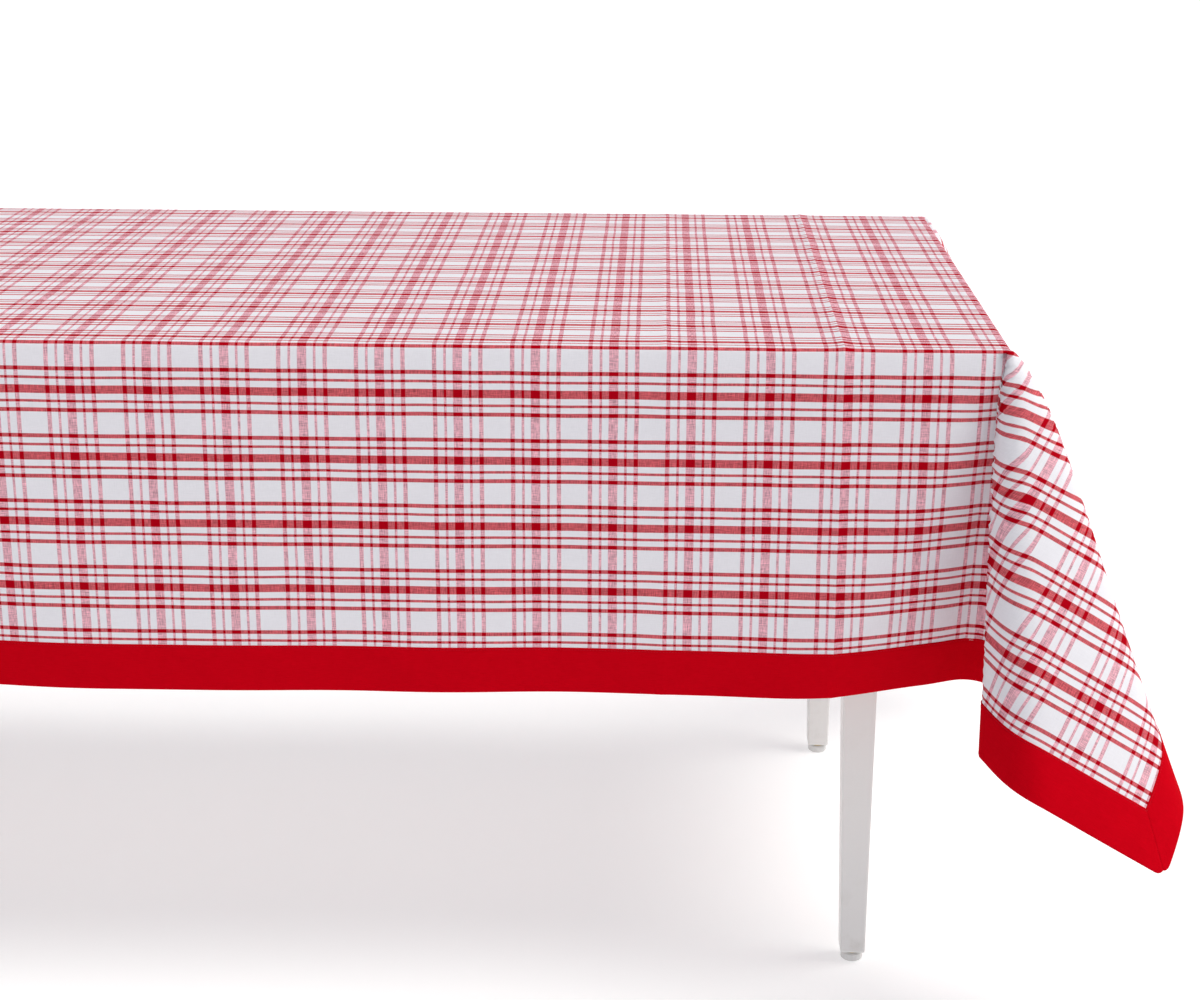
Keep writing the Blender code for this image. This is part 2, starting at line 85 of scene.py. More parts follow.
class Corner(Enum):
    """A corner of the table, with its signs along and across."""

    FRONT_LEFT = (-1, -1)
    FRONT_RIGHT = (1, -1)
    BACK_LEFT = (-1, 1)
    BACK_RIGHT = (1, 1)

    @property
    def label(self) -> str:
        """The corner's words in node names."""
        return self.name.lower()


# ---------------------------------------------------------------------------------------------
# Shader graphs
# ---------------------------------------------------------------------------------------------


class Wire:
    """One value in a material's graph. Arithmetic on it adds Math nodes."""

    def __init__(self, graph: "Graph", socket: bpy.types.NodeSocket) -> None:
        """Holds the graph and the socket of a node's output in it."""
        self.graph = graph
        self.socket = socket

    def maths(self, operation: str, *values: Any) -> "Wire":
        """Adds one Math node.

        Args:
            operation: the Math node's operation.
            values: its inputs, in order, as wires or numbers.

        Returns:
            The node's result.
        """
        sockets = dict(zip(("Value", "Value_001"), values))
        return self.graph.node("ShaderNodeMath", {"operation": operation}, sockets)

    def __add__(self, other: Any) -> "Wire":
        """self + other."""
        return self.maths("ADD", self, other)

    def __radd__(self, other: Any) -> "Wire":
        """other + self."""
        return self.maths("ADD", other, self)

    def __sub__(self, other: Any) -> "Wire":
        """self - other."""
        return self.maths("SUBTRACT", self, other)

    def __rsub__(self, other: Any) -> "Wire":
        """other - self."""
        return self.maths("SUBTRACT", other, self)

    def __mul__(self, other: Any) -> "Wire":
        """self * other."""
        return self.maths("MULTIPLY", self, other)

    def __rmul__(self, other: Any) -> "Wire":
        """other * self."""
        return self.maths("MULTIPLY", other, self)

    def __truediv__(self, other: Any) -> "Wire":
        """self / other."""
        return self.maths("DIVIDE", self, other)

    def __abs__(self) -> "Wire":
        """abs(self)."""
        return self.maths("ABSOLUTE", self)

    def sine(self) -> "Wire":
        """sin(self), in radians."""
        return self.maths("SINE", self)

    def fraction(self) -> "Wire":
        """What is left of self above the whole number below it."""
        return self.maths("FRACT", self)

    def power(self, exponent: float) -> "Wire":
        """self to a power."""
        return self.maths("POWER", self, exponent)

    def clamped(self) -> "Wire":
        """Keeps self from 0 to 1.

        Returns:
            The value within those limits.
        """
        held = self + 0.0
        held.socket.node.use_clamp = True
        return held

    def wave(self, length: float) -> "Wire":
        """A wave of that length over self, from 0 to 1."""
        return (self * (2 * math.pi / length)).sine() * 0.5 + 0.5


class Graph:
    """The node graph of a material or a world, around its one shader."""

    def __init__(self, name: str, world: bool = False) -> None:
        """Makes a material, or a world.

        Args:
            name: its name.
            world: whether it is a world.
        """
        self.owner = (bpy.data.worlds if world else bpy.data.materials).new(name)
        self.owner.use_nodes = True
        self.tree = self.owner.node_tree
        self.shader = self.tree.nodes["Background" if world else "Principled BSDF"]

    def _feed(self, socket: bpy.types.NodeSocket, value: Any) -> None:
        """Links a wire to a socket, or sets the socket to a plain value.

        Args:
            socket: an input of this graph.
            value: a wire, a number, a vector or a colour.
        """
        if isinstance(value, Wire):
            self.tree.links.new(value.socket, socket)
        elif isinstance(value, tuple) and socket.type == "RGBA":
            socket.default_value = (*value, 1.0)
        else:
            socket.default_value = value

    def node(
        self,
        kind: str,
        settings: dict[str, Any] | None = None,
        sockets: dict[str, Any] | None = None,
        output: str | int = 0,
    ) -> Wire:
        """Adds a node.

        Args:
            kind: the node's type.
            settings: its properties; `stops` are a ramp's positions and colours.
            sockets: values or wires for its inputs, by identifier.
            output: which output to return, by identifier or number.

        Returns:
            A wire from that output.
        """
        made = self.tree.nodes.new(kind)
        for key, value in (settings or {}).items():
            if key == "stops":
                self._set_stops(made.color_ramp.elements, value)
            elif key == "interpolation":
                made.color_ramp.interpolation = value
            else:
                setattr(made, key, value)
        inputs = {socket.identifier: socket for socket in made.inputs}
        for key, value in (sockets or {}).items():
            self._feed(inputs[key], value)
        if isinstance(output, int):
            return Wire(self, made.outputs[output])
        outputs = {socket.identifier: socket for socket in made.outputs}
        return Wire(self, outputs[output])

    @staticmethod
    def _set_stops(elements: Any, stops: list[tuple[float, Colour]]) -> None:
        """Gives a ramp its stops.

        Args:
            elements: the ramp's own stops.
            stops: pairs of a position and a colour, in order.
        """
        while len(elements) > 1:
            elements.remove(elements[-1])
        elements[0].position = stops[0][0]
        elements[0].color = (*stops[0][1], 1.0)
        for position, colour in stops[1:]:
            elements.new(position).color = (*colour, 1.0)

    def flat_place(self) -> tuple[Wire, Wire]:
        """The point's place on the flat cloth, as its distances along and across."""
        flat = self.node("ShaderNodeUVMap", {"uv_map": FLAT_MAP})
        return self.split(flat)[:2]

    def object_place(self) -> Wire:
        """The point's place in the object's own coordinates."""
        return self.node("ShaderNodeTexCoord", output="Object")

    def split(self, vector: Wire) -> tuple[Wire, Wire, Wire]:
        """Takes a vector apart.

        Args:
            vector: the vector.

        Returns:
            Its three parts.
        """
        first = self.node("ShaderNodeSeparateXYZ", {}, {"Vector": vector}, "X")
        outputs = first.socket.node.outputs
        return first, Wire(self, outputs["Y"]), Wire(self, outputs["Z"])

    def join(self, x: Any, y: Any, z: Any = 0.0) -> Wire:
        """A vector from three values."""
        return self.node("ShaderNodeCombineXYZ", {}, {"X": x, "Y": y, "Z": z})

    def noise(
        self, where: Wire, scale: float, detail: float = 2.0, roughness: float = 0.5
    ) -> Wire:
        """Smooth noise from 0 to 1.

        Args:
            where: the vector to read it at.
            scale: bumps to a unit of that vector.
            detail: how many finer layers it has.
            roughness: how strong the finer layers are.

        Returns:
            The noise's value.
        """
        sockets = {"Vector": where, "Scale": scale, "Detail": detail, "Roughness": roughness}
        return self.node("ShaderNodeTexNoise", {}, sockets, "Fac")

    def blend(self, factor: Any, first: Any, second: Any) -> Wire:
        """Mixes two colours.

        Args:
            factor: 0 for the first, 1 for the second.
            first: a colour or wire.
            second: a colour or wire.

        Returns:
            The mixed colour.
        """
        settings = {"data_type": "RGBA", "blend_type": "MIX", "clamp_factor": True}
        sockets = {"Factor_Float": factor, "A_Color": first, "B_Color": second}
        return self.node("ShaderNodeMix", settings, sockets, "Result_Color")

    def shade(self, colour: Any, value: Wire) -> Wire:
        """A colour made darker or lighter by a value around 1."""
        sockets = {"Vector": colour, "Vector_001": self.join(value, value, value)}
        return self.node("ShaderNodeVectorMath", {"operation": "MULTIPLY"}, sockets)

    def tint(self, colour: Colour) -> Wire:
        """A constant colour as a wire, for Vector Math."""
        return self.join(*colour)

    def steps(self, value: Wire, bands: Iterable[tuple[float, float]], edge: float) -> Wire:
        """1 inside each band of a value and 0 between them.

        Args:
            value: the value to sort, from 0 to 0.5.
            bands: each band's middle and half width.
            edge: how far it takes to turn from 0 to 1.

        Returns:
            The mask.
        """
        stops = []
        for middle, half in bands:
            if middle > half:
                stops += [(middle - half - edge, 0.0), (middle - half, 1.0)]
            else:
                stops.append((0.0, 1.0))
            stops += [(middle + half, 1.0), (middle + half + edge, 0.0)]
        ramp = [(place, (level, level, level)) for place, level in stops]
        settings = {"interpolation": "LINEAR", "stops": ramp}
        return self.node("ShaderNodeValToRGB", settings, {"Fac": value})

    def relief(self, *layers: tuple[Wire, float]) -> None:
        """Feeds the shader's Normal with bumps, one on another.

        Args:
            layers: for each bump, its height from 0 to 1 and its depth in metres.
        """
        below = None
        for height, depth in layers:
            sockets: dict[str, Any] = {"Height": height, "Distance": depth, "Strength": 1.0}
            if below is not None:
                sockets["Normal"] = below
            below = self.node("ShaderNodeBump", {}, sockets)
        self._feed(self.shader.inputs["Normal"], below)

    def finish(self, **sockets: Any) -> Any:
        """Sets the shader's sockets.

        Args:
            sockets: values or wires, named as the sockets are, with _ for a space.

        Returns:
            The finished material or world.
        """
        for key, value in sockets.items():
            self._feed(self.shader.inputs[key.replace("_", " ")], value)
        return self.owner


# ---------------------------------------------------------------------------------------------
# Finishes
# ---------------------------------------------------------------------------------------------


@dataclass(frozen=True)
class PlainWeave:
    """The over and under of single yarns, which both cottons share.

    Attributes:
        yarn: from one yarn to the next.
        slub_length: how long a thick or thin place of a yarn is.
        slub_scale: the scale of the noise that makes those places.
        roundness: the power that rounds the yarns' tops, from 0 for flat.
        relief_depth: how far the yarns stand out.
    """

    yarn: float = 0.00062
    slub_length: float = 0.0075
    slub_scale: float = 0.8
    roundness: float = 0.6
    relief_depth: float = 0.00012

    def threads(self, graph: Graph, along: Wire, across: Wire) -> tuple[Wire, Wire, Wire]:
        """Works out the weave at a point.

        Args:
            graph: the material's graph.
            along: distance along the cloth.
            across: distance across it.

        Returns:
            The height from 0 to 1, and how full each set of yarns is there, around 0.5: those that
            run across the cloth, then those that run along it.
        """
        turn = math.pi / self.yarn
        over = (along * turn).sine() * (across * turn).sine()
        height = abs(over).power(self.roundness)
        fine, long = 1 / self.yarn, 1 / self.slub_length
        elsewhere = 7.3
        across_yarns = graph.noise(graph.join(along * fine, across * long), self.slub_scale)
        along_yarns = graph.noise(
            graph.join(along * long, across * fine, elsewhere), self.slub_scale
        )
        return height, across_yarns, along_yarns


@dataclass(frozen=True)
class PlaidCotton:
    """Yarn-dyed cotton: white ground, rose stripes across it and red ones along it.

    Attributes:
        weave: its yarns.
        ground: colour of the ground.
        rose: colour of the stripes that run across the cloth.
        red: colour of those that run along it.
        solid: colour where two stripes cross.
        repeat_along: from one thick rose stripe to the next.
        repeat_across: from one thick red stripe to the next.
        stripe_along: the place of one thick rose stripe.
        stripe_across: the place of one thick red stripe.
        heather: how much the yarns' fullness shows in a stripe.
        rose_stripes: the middle and half width of each stripe in half a repeat, in repeats.
        red_stripes: the same for the red ones.
        stripe_edge: how soft a stripe's edge is, in repeats.
        stray: how far the yarns stray from straight, and the scale of that.
        slub_shade: how much slubs darken or lighten the cloth.
        weave_shade: how much painted shade darkens the gaps between yarns, against their tops.
        base_shade: the shade without either.
        crumple: depth and scale of the crumples left by washing.
        slub_depth: how far slubs stand out.
    """

    weave: PlainWeave = PlainWeave()
    ground: Colour = (0.835, 0.825, 0.86)
    rose: Colour = (0.745, 0.405, 0.465)
    red: Colour = (0.585, 0.110, 0.128)
    solid: Colour = (0.420, 0.000, 0.007)
    repeat_along: float = 0.0788
    repeat_across: float = 0.0706
    stripe_along: float = 0.9095
    stripe_across: float = -0.4295
    heather: float = 1.4
    rose_stripes: tuple[tuple[float, float], ...] = ((0.0, 0.058), (0.163, 0.015), (0.298, 0.026))
    red_stripes: tuple[tuple[float, float], ...] = ((0.0, 0.060), (0.175, 0.018), (0.308, 0.028))
    stripe_edge: float = 0.004
    stray: tuple[float, float] = (0.0016, 14.0)
    slub_shade: float = 0.10
    weave_shade: float = 0.03
    base_shade: float = 0.885
    crumple: tuple[float, float] = (0.0011, 21.0)
    slub_depth: float = 0.00010

    def _place_in_repeat(self, where: Wire, first: float, repeat: float) -> Wire:
        """How far a point is from the nearest thick stripe.

        Args:
            where: its distance along or across the cloth.
            first: the place of one thick stripe.
            repeat: from one to the next.

        Returns:
            The distance in repeats, from 0 to 0.5.
        """
        turns = (where - first) / repeat + 0.5
        return abs(turns.fraction() - 0.5)

    def material(self) -> bpy.types.Material:
        """Builds the material on the flat cloth's own coordinates.

        Returns:
            The material.
        """
        graph = Graph("plaid_cotton")
        along, across = graph.flat_place()
        height, across_yarns, along_yarns = self.weave.threads(graph, along, across)
        flat = graph.join(along, across)
        reach, scale = self.stray
        stray = graph.noise(flat, scale, 1.0) * reach - reach / 2
        rose = graph.steps(
            self._place_in_repeat(along + stray, self.stripe_along, self.repeat_along),
            self.rose_stripes, self.stripe_edge,
        )
        red = graph.steps(
            self._place_in_repeat(across + stray, self.stripe_across, self.repeat_across),
            self.red_stripes, self.stripe_edge,
        )
        speck = (across_yarns - along_yarns) * self.heather
        rose_colour = graph.shade(graph.tint(self.rose), speck + 1.0)
        red_colour = graph.shade(graph.tint(self.red), speck + 1.0)
        colour = graph.blend(rose, self.ground, rose_colour)
        colour = graph.blend(red, colour, graph.blend(rose, red_colour, self.solid))
        slubs = across_yarns + along_yarns
        # Slubs vary the tone at random; the weave's height paints shade into the gaps between
        # yarns.
        colour = graph.shade(
            colour, slubs * self.slub_shade + height * self.weave_shade + self.base_shade
        )
        depth, scale = self.crumple
        graph.relief(
            (graph.noise(flat, scale, 3.0, 0.55), depth), (slubs, self.slub_depth),
            (height, self.weave.relief_depth),
        )
        return graph.finish(Base_Color=colour, Roughness=0.95, Specular_IOR_Level=0.03)


@dataclass(frozen=True)
class RedCotton:
    """Plain red cotton of the border, a little puckered by its seams.

    Attributes:
        weave: its yarns.
        dye: its colour.
        faded: the colour of the fuller yarns.
        slub_shade: how much slubs darken or lighten the cloth.
        weave_shade: how much painted shade darkens the gaps between yarns, against their tops.
        undulation_painted_shade: how much patches of painted shade, for the band's gentle
            undulations, darken or lighten the cloth.
        base_shade: the shade without them.
        undulation_shade_scale: patches of that painted shade to a metre.
        pucker_scale: puckers to a metre.
        pucker_depth: how far they stand out.
    """

    weave: PlainWeave = PlainWeave()
    dye: Colour = (0.540, 0.0000, 0.0045)
    faded: Colour = (0.610, 0.0005, 0.0100)
    slub_shade: float = 0.10
    weave_shade: float = 0.04
    undulation_painted_shade: float = 0.10
    base_shade: float = 0.81
    undulation_shade_scale: float = 30.0
    pucker_scale: float = 22.0
    pucker_depth: float = 0.0030

    def material(self) -> bpy.types.Material:
        """Builds the material on the flat cloth's own coordinates.

        Returns:
            The material.
        """
        graph = Graph("red_cotton")
        along, across = graph.flat_place()
        height, across_yarns, along_yarns = self.weave.threads(graph, along, across)
        flat = graph.join(along, across)
        slubs = (across_yarns + along_yarns) * self.slub_shade
        # Patches of painted shade that stand in for the shade of the band's gentle undulations.
        undulation_shade = graph.noise(flat, self.undulation_shade_scale, 3.0) * self.undulation_painted_shade
        # The weave's height paints shade into the gaps between yarns.
        shade = slubs + height * self.weave_shade + undulation_shade + self.base_shade
        colour = graph.shade(graph.blend(along_yarns, self.dye, self.faded), shade)
        pucker = graph.noise(flat, self.pucker_scale, 3.0)
        graph.relief((pucker, self.pucker_depth), (height, self.weave.relief_depth))
        return graph.finish(Base_Color=colour, Roughness=0.95, Specular_IOR_Level=0.02)


@dataclass(frozen=True)
class SewingThread:
    """Two-ply red sewing thread, with painted shade in the grooves of its twist.

    Attributes:
        dye: its colour.
        ply: from one turn of its twist to the next.
        depth: how deep the twist is.
    """

    dye: Colour = (0.60, 0.006, 0.020)
    ply: float = 0.0004
    depth: float = 0.00008

    def material(self) -> bpy.types.Material:
        """Builds the material.

        Returns:
            The material.
        """
        graph = Graph("red_thread")
        x, y, z = graph.split(graph.object_place())
        twist = (x + y + z).wave(self.ply)
        # Darker where the twist sinks: painted shade in the grooves between the plies.
        colour = graph.shade(graph.tint(self.dye), twist * 0.25 + 0.85)
        graph.relief((twist, self.depth))
        return graph.finish(Base_Color=colour, Roughness=0.6, Specular_IOR_Level=0.2)


@dataclass(frozen=True)
class WhiteLaminate:
    """Satin white laminate on the table top, with a faint pebble.

    Attributes:
        colour: its colour.
        pebble_scale: bumps to a metre.
        pebble_depth: how far they stand out.
        cloud_scale: cloudy patches to a metre.
    """

    colour: Colour = (0.80, 0.80, 0.785)
    pebble_scale: float = 900.0
    pebble_depth: float = 0.00006
    cloud_scale: float = 5.0

    def material(self) -> bpy.types.Material:
        """Builds the material.

        Returns:
            The material.
        """
        graph = Graph("white_laminate")
        place = graph.object_place()
        pebble = graph.noise(place, self.pebble_scale)
        cloud = graph.noise(place, self.cloud_scale, 3.0)
        colour = graph.shade(graph.tint(self.colour), cloud * 0.06 + 0.96)
        graph.relief((pebble, self.pebble_depth))
        gloss = pebble * 0.15 + 0.34
        return graph.finish(Base_Color=colour, Roughness=gloss, Specular_IOR_Level=0.4)


@dataclass(frozen=True)
class WhitePaint:
    """Satin white paint, brushed along the aprons and legs and scuffed near the floor.

    Attributes:
        colour: of fresh paint.
        worn: its colour where it is scuffed.
        brush: strokes to a metre along the table, across it and up.
        brush_depth: how far they stand out.
        scuff_scale: scuffs to a metre.
        scuff_start: the level of noise at which a scuff starts.
        scuff_height: height above the floor in which there are more of them.
    """

    colour: Colour = (0.80, 0.795, 0.775)
    worn: Colour = (0.66, 0.64, 0.60)
    brush: tuple[float, float, float] = (90.0, 420.0, 16.0)
    brush_depth: float = 0.00012
    scuff_scale: float = 34.0
    scuff_start: float = 0.52
    scuff_height: float = 1 / 9

    def material(self) -> bpy.types.Material:
        """Builds the material.

        Returns:
            The material.
        """
        graph = Graph("white_paint")
        place = graph.object_place()
        x, y, z = graph.split(place)
        strokes = [part * scale for part, scale in zip((x, y, z), self.brush)]
        brushed = graph.noise(graph.join(*strokes), 1.0, 3.0)
        scuffs = graph.noise(place, self.scuff_scale, 4.0, 0.6)
        near_floor = (1.0 - z / self.scuff_height).clamped()
        worn = ((scuffs - self.scuff_start) * 5.0).clamped() * (near_floor * 0.6 + 0.12)
        colour = graph.blend(worn, self.colour, self.worn)
        graph.relief((brushed, self.brush_depth))
        return graph.finish(
            Base_Color=colour, Roughness=brushed * 0.18 + 0.32, Specular_IOR_Level=0.4,
            Coat_Weight=worn * -0.2 + 0.2,
        )


@dataclass(frozen=True)
class BareWood:
    """Planed beech of the corner blocks.

    Attributes:
        pale: colour of the wood between its rings.
        dark: colour of the rings and pores.
        ring: from one ring to the next.
        bend: how far the rings bend, and bends to a metre.
        pore_scale: pores to a metre across the grain.
        pore_stretch: how much longer than wide they are.
        grain_depth: how far the grain stands out.
    """

    pale: Colour = (0.62, 0.43, 0.26)
    dark: Colour = (0.42, 0.25, 0.13)
    ring: float = 0.0045
    bend: tuple[float, float] = (0.02, 9.0)
    pore_scale: float = 900.0
    pore_stretch: float = 15.0
    grain_depth: float = 0.0002

    def material(self) -> bpy.types.Material:
        """Builds the material.

        Returns:
            The material.
        """
        graph = Graph("bare_wood")
        place = graph.object_place()
        x, y, z = graph.split(place)
        reach, scale = self.bend
        bend = graph.noise(place, scale) * reach
        rings = (x + y * 0.6 + bend).wave(self.ring)
        fine, long = self.pore_scale, self.pore_scale / self.pore_stretch
        pores = graph.noise(graph.join(x * fine, y * fine, z * long), 1.0)
        grain = (rings * 0.6 + pores * 0.5).clamped()
        graph.relief((grain, self.grain_depth))
        colour = graph.blend(grain, self.pale, self.dark)
        return graph.finish(Base_Color=colour, Roughness=grain * 0.2 + 0.6)


@dataclass(frozen=True)
class ZincPlate:
    """Bright zinc plating with a faint blue and straw passivate.

    Attributes:
        cool: its bluer colour.
        straw: its yellower colour.
        cloud_scale: patches of either to a metre.
        grit_scale: grains to a metre.
        grit_depth: how far they stand out.
    """

    cool: Colour = (0.62, 0.65, 0.70)
    straw: Colour = (0.72, 0.69, 0.58)
    cloud_scale: float = 55.0
    grit_scale: float = 1600.0
    grit_depth: float = 0.00003

    def material(self) -> bpy.types.Material:
        """Builds the material.

        Returns:
            The material.
        """
        graph = Graph("zinc_steel")
        place = graph.object_place()
        cloud = graph.noise(place, self.cloud_scale, 3.0)
        colour = graph.blend(cloud, self.cool, self.straw)
        graph.relief((graph.noise(place, self.grit_scale), self.grit_depth))
        return graph.finish(Base_Color=colour, Metallic=1.0, Roughness=cloud * 0.2 + 0.24)


@dataclass(frozen=True)
class TurnedBrass:
    """Bare brass with fine rings left by the lathe.

    Attributes:
        bright: colour of clean brass.
        dull: colour of tarnish.
        ring: from one ring to the next.
        ring_depth: how deep the rings are.
        tarnish_scale: patches of tarnish to a metre.
    """

    bright: Colour = (0.80, 0.61, 0.27)
    dull: Colour = (0.55, 0.40, 0.17)
    ring: float = 0.00035
    ring_depth: float = 0.00003
    tarnish_scale: float = 120.0

    def material(self) -> bpy.types.Material:
        """Builds the material.

        Returns:
            The material.
        """
        graph = Graph("brass")
        place = graph.object_place()
        rings = graph.split(place)[2].wave(self.ring)
        tarnish = graph.noise(place, self.tarnish_scale, 3.0)
        graph.relief((rings, self.ring_depth))
        colour = graph.blend(tarnish, self.bright, self.dull)
        return graph.finish(Base_Color=colour, Metallic=1.0, Roughness=tarnish * 0.25 + 0.2)


@dataclass(frozen=True)
class MouldedNylon:
    """Matt white nylon of the feet, scuffed where it meets the floor.

    Attributes:
        colour: of clean nylon.
        scuffed: its colour where it is scuffed.
        grain_scale: grains of the mould's surface to a metre.
        grain_depth: how far they stand out.
        scuff_scale: scuffs to a metre.
        scuff_height: height above the floor in which they lie.
    """

    colour: Colour = (0.74, 0.74, 0.72)
    scuffed: Colour = (0.50, 0.49, 0.47)
    grain_scale: float = 1500.0
    grain_depth: float = 0.00005
    scuff_scale: float = 260.0
    scuff_height: float = 0.0025

    def material(self) -> bpy.types.Material:
        """Builds the material.

        Returns:
            The material.
        """
        graph = Graph("white_nylon")
        place = graph.object_place()
        height = graph.split(place)[2]
        sparks = graph.noise(place, self.grain_scale)
        scuffs = graph.noise(place, self.scuff_scale, 3.0)
        low = (1.0 - height / self.scuff_height).clamped()
        colour = graph.blend(low * scuffs, self.colour, self.scuffed)
        graph.relief((sparks, self.grain_depth))
        return graph.finish(Base_Color=colour, Roughness=sparks * 0.15 + 0.45)


@dataclass(frozen=True)
class StudioFloor:
    """Seamless pale paper, lit from behind as well so that it stays white.

    Attributes:
        colour: of the paper.
        glow: the strength of the light that comes through it.
        tooth_scale: fibres to a metre.
    """

    colour: Colour = (0.62, 0.62, 0.62)
    glow: float = 0.52
    tooth_scale: float = 60.0

    def material(self) -> bpy.types.Material:
        """Builds the material.

        Returns:
            The material.
        """
        graph = Graph("studio_floor")
        tooth = graph.noise(graph.object_place(), self.tooth_scale)
        colour = graph.shade(graph.tint(self.colour), tooth * 0.01 + 0.995)
        return graph.finish(
            Base_Color=colour, Roughness=0.95, Specular_IOR_Level=0.0,
            Emission_Color=(1.0, 1.0, 1.0), Emission_Strength=self.glow,
        )


# ---------------------------------------------------------------------------------------------
# The drape
# ---------------------------------------------------------------------------------------------


def smooth_step(value: Array) -> Array:
    """Eases a value from 0 to 1, level at both ends."""
    held = np.clip(value, 0.0, 1.0)
    return held * held * (3.0 - 2.0 * held)


def unit(vectors: Array) -> Array:
    """Vectors of length 1 that point the same way."""
    return vectors / np.maximum(np.linalg.norm(vectors, axis=-1, keepdims=True), TINY)


@dataclass
class CornerFold:
    """The cone that the spare cloth at one corner of the table makes.

    Each straight line of the cloth that starts at the table's corner stays straight. The fold is
    the path of their directions, given as tilts in degrees off straight down: first away from the
    side's drop, past its end, and then out from its face. The angles between the directions add up
    to three right angles, as they do on the flat cloth, so the cloth doesn't stretch.

    Attributes:
        side_half: tilts from the side's drop to the middle of the fold.
        end_half: the same from the end's drop, with the two tilts the other way round.
        slump: how much longer its own weight makes the cloth on the bias, as a share.
        billow: how far the fold's walls stand out from the cone.
        billow_reach: the length of cloth from the corner at which they stand out most.
        billow_edge: the angle beside each edge in which the billow grows.
        steps: directions worked out between two tilts.
        scales: the least and most that the fold's tilts may be scaled by.
        halvings: how often that range is halved to find the scale.
        drop_end: tilts past this one belong to the fold, and the others to the flat drop.
        flat_drop: the tilts of the flat drop.
        angles: the directions' angles on the flat cloth.
        ways: the directions.
    """

    side_half: tuple[tuple[float, float], ...]
    end_half: tuple[tuple[float, float], ...]
    slump: float = 0.044
    billow: float = 0.012
    billow_reach: float = 0.107
    billow_edge: float = 0.12
    steps: int = 60
    scales: tuple[float, float] = (0.4, 1.8)
    halvings: int = 40
    drop_end: float = -20.0
    flat_drop: tuple[tuple[float, float], ...] = ((-90.0, 0.0), (-60.0, 0.0))
    angles: Array = field(init=False)
    ways: Array = field(init=False)

    def __post_init__(self) -> None:
        """Scales the fold until its directions take up three right angles."""
        small, large = self.scales
        for _ in range(self.halvings):
            scale = (small + large) / 2
            self.ways = self._directions(self._tilts(scale))
            turned = self._turned(self.ways)
            if turned[-1] > 3 * QUARTER_TURN:
                large = scale
            else:
                small = scale
        self.angles = turned - QUARTER_TURN

    def _tilts(self, scale: float) -> Array:
        """Joins both halves of the fold.

        Args:
            scale: of the tilts of the part that stands out.

        Returns:
            The path of tilts from the side's drop to the end's, one row each.
        """
        halves = []
        for half in (self.side_half, self.end_half):
            tilts = list(self.flat_drop)
            for past, out in half:
                share = 1.0 if past < self.drop_end else scale
                tilts.append((past * share, out * share))
            halves.append(tilts)
        back = [(out, past) for past, out in reversed(halves[1])]
        return self._smooth(np.array(halves[0] + back, float))

    def _smooth(self, points: Array) -> Array:
        """Draws a smooth curve through points, by Catmull and Rom's rule.

        Args:
            points: one row each.

        Returns:
            The curve's points.
        """
        padded = np.vstack((2 * points[0] - points[1], points, 2 * points[-1] - points[-2]))
        step = np.linspace(0, 1, self.steps, endpoint=False)[:, None]
        pieces = []
        for a, b, c, d in zip(padded, padded[1:], padded[2:], padded[3:]):
            square, cube = step**2, step**3
            pieces.append(
                0.5 * (2 * b + (c - a) * step + (2 * a - 5 * b + 4 * c - d) * square
                       + (3 * b - a - 3 * c + d) * cube)
            )
        return np.vstack(pieces + [points[-1:]])

    @staticmethod
    def _directions(tilts: Array) -> Array:
        """Turns tilts into directions.

        Args:
            tilts: past the side's end and out from its face, in degrees.

        Returns:
            Unit vectors: past the side's end, out from its face, and up.
        """
        radians = np.radians(tilts)
        lean = np.maximum(np.hypot(radians[:, 0], radians[:, 1]), 1e-9)
        share = np.sin(lean) / lean
        return np.stack((radians[:, 0] * share, radians[:, 1] * share, -np.cos(lean)), 1)

    @staticmethod
    def _turned(ways: Array) -> Array:
        """The angle that the path has turned through at each direction."""
        chords = np.linalg.norm(np.diff(ways, axis=0), axis=1)
        return np.concatenate(([0.0], np.cumsum(2 * np.arcsin(chords / 2))))

    def way(self, angle: Array) -> Array:
        """The direction of the cloth's line at an angle on the flat cloth.

        Args:
            angle: 0 straight down the side's drop, a right angle along its edge.

        Returns:
            Directions: past the side's end, out from its face, and up.
        """
        return np.stack([np.interp(angle, self.angles, self.ways[:, k]) for k in range(3)], -1)

    def bulge(self, angle: Array, length: Array) -> Array:
        """How far the cloth that lies past both edges stands off its cone.

        Args:
            angle: as for way, from 0 to a right angle.
            length: of cloth from the table's corner.

        Returns:
            Steps past the side's end, out from its face, and up.
        """
        step, edge = 0.001, self.billow_edge
        turned = self.way(angle + step) - self.way(angle - step)
        off = unit(np.cross(turned, self.way(angle)))
        near = smooth_step(angle / edge) * smooth_step((QUARTER_TURN - angle) / edge)
        reach = length / self.billow_reach
        return off * (self.billow * near * reach * np.exp(1.0 - reach))[..., None]


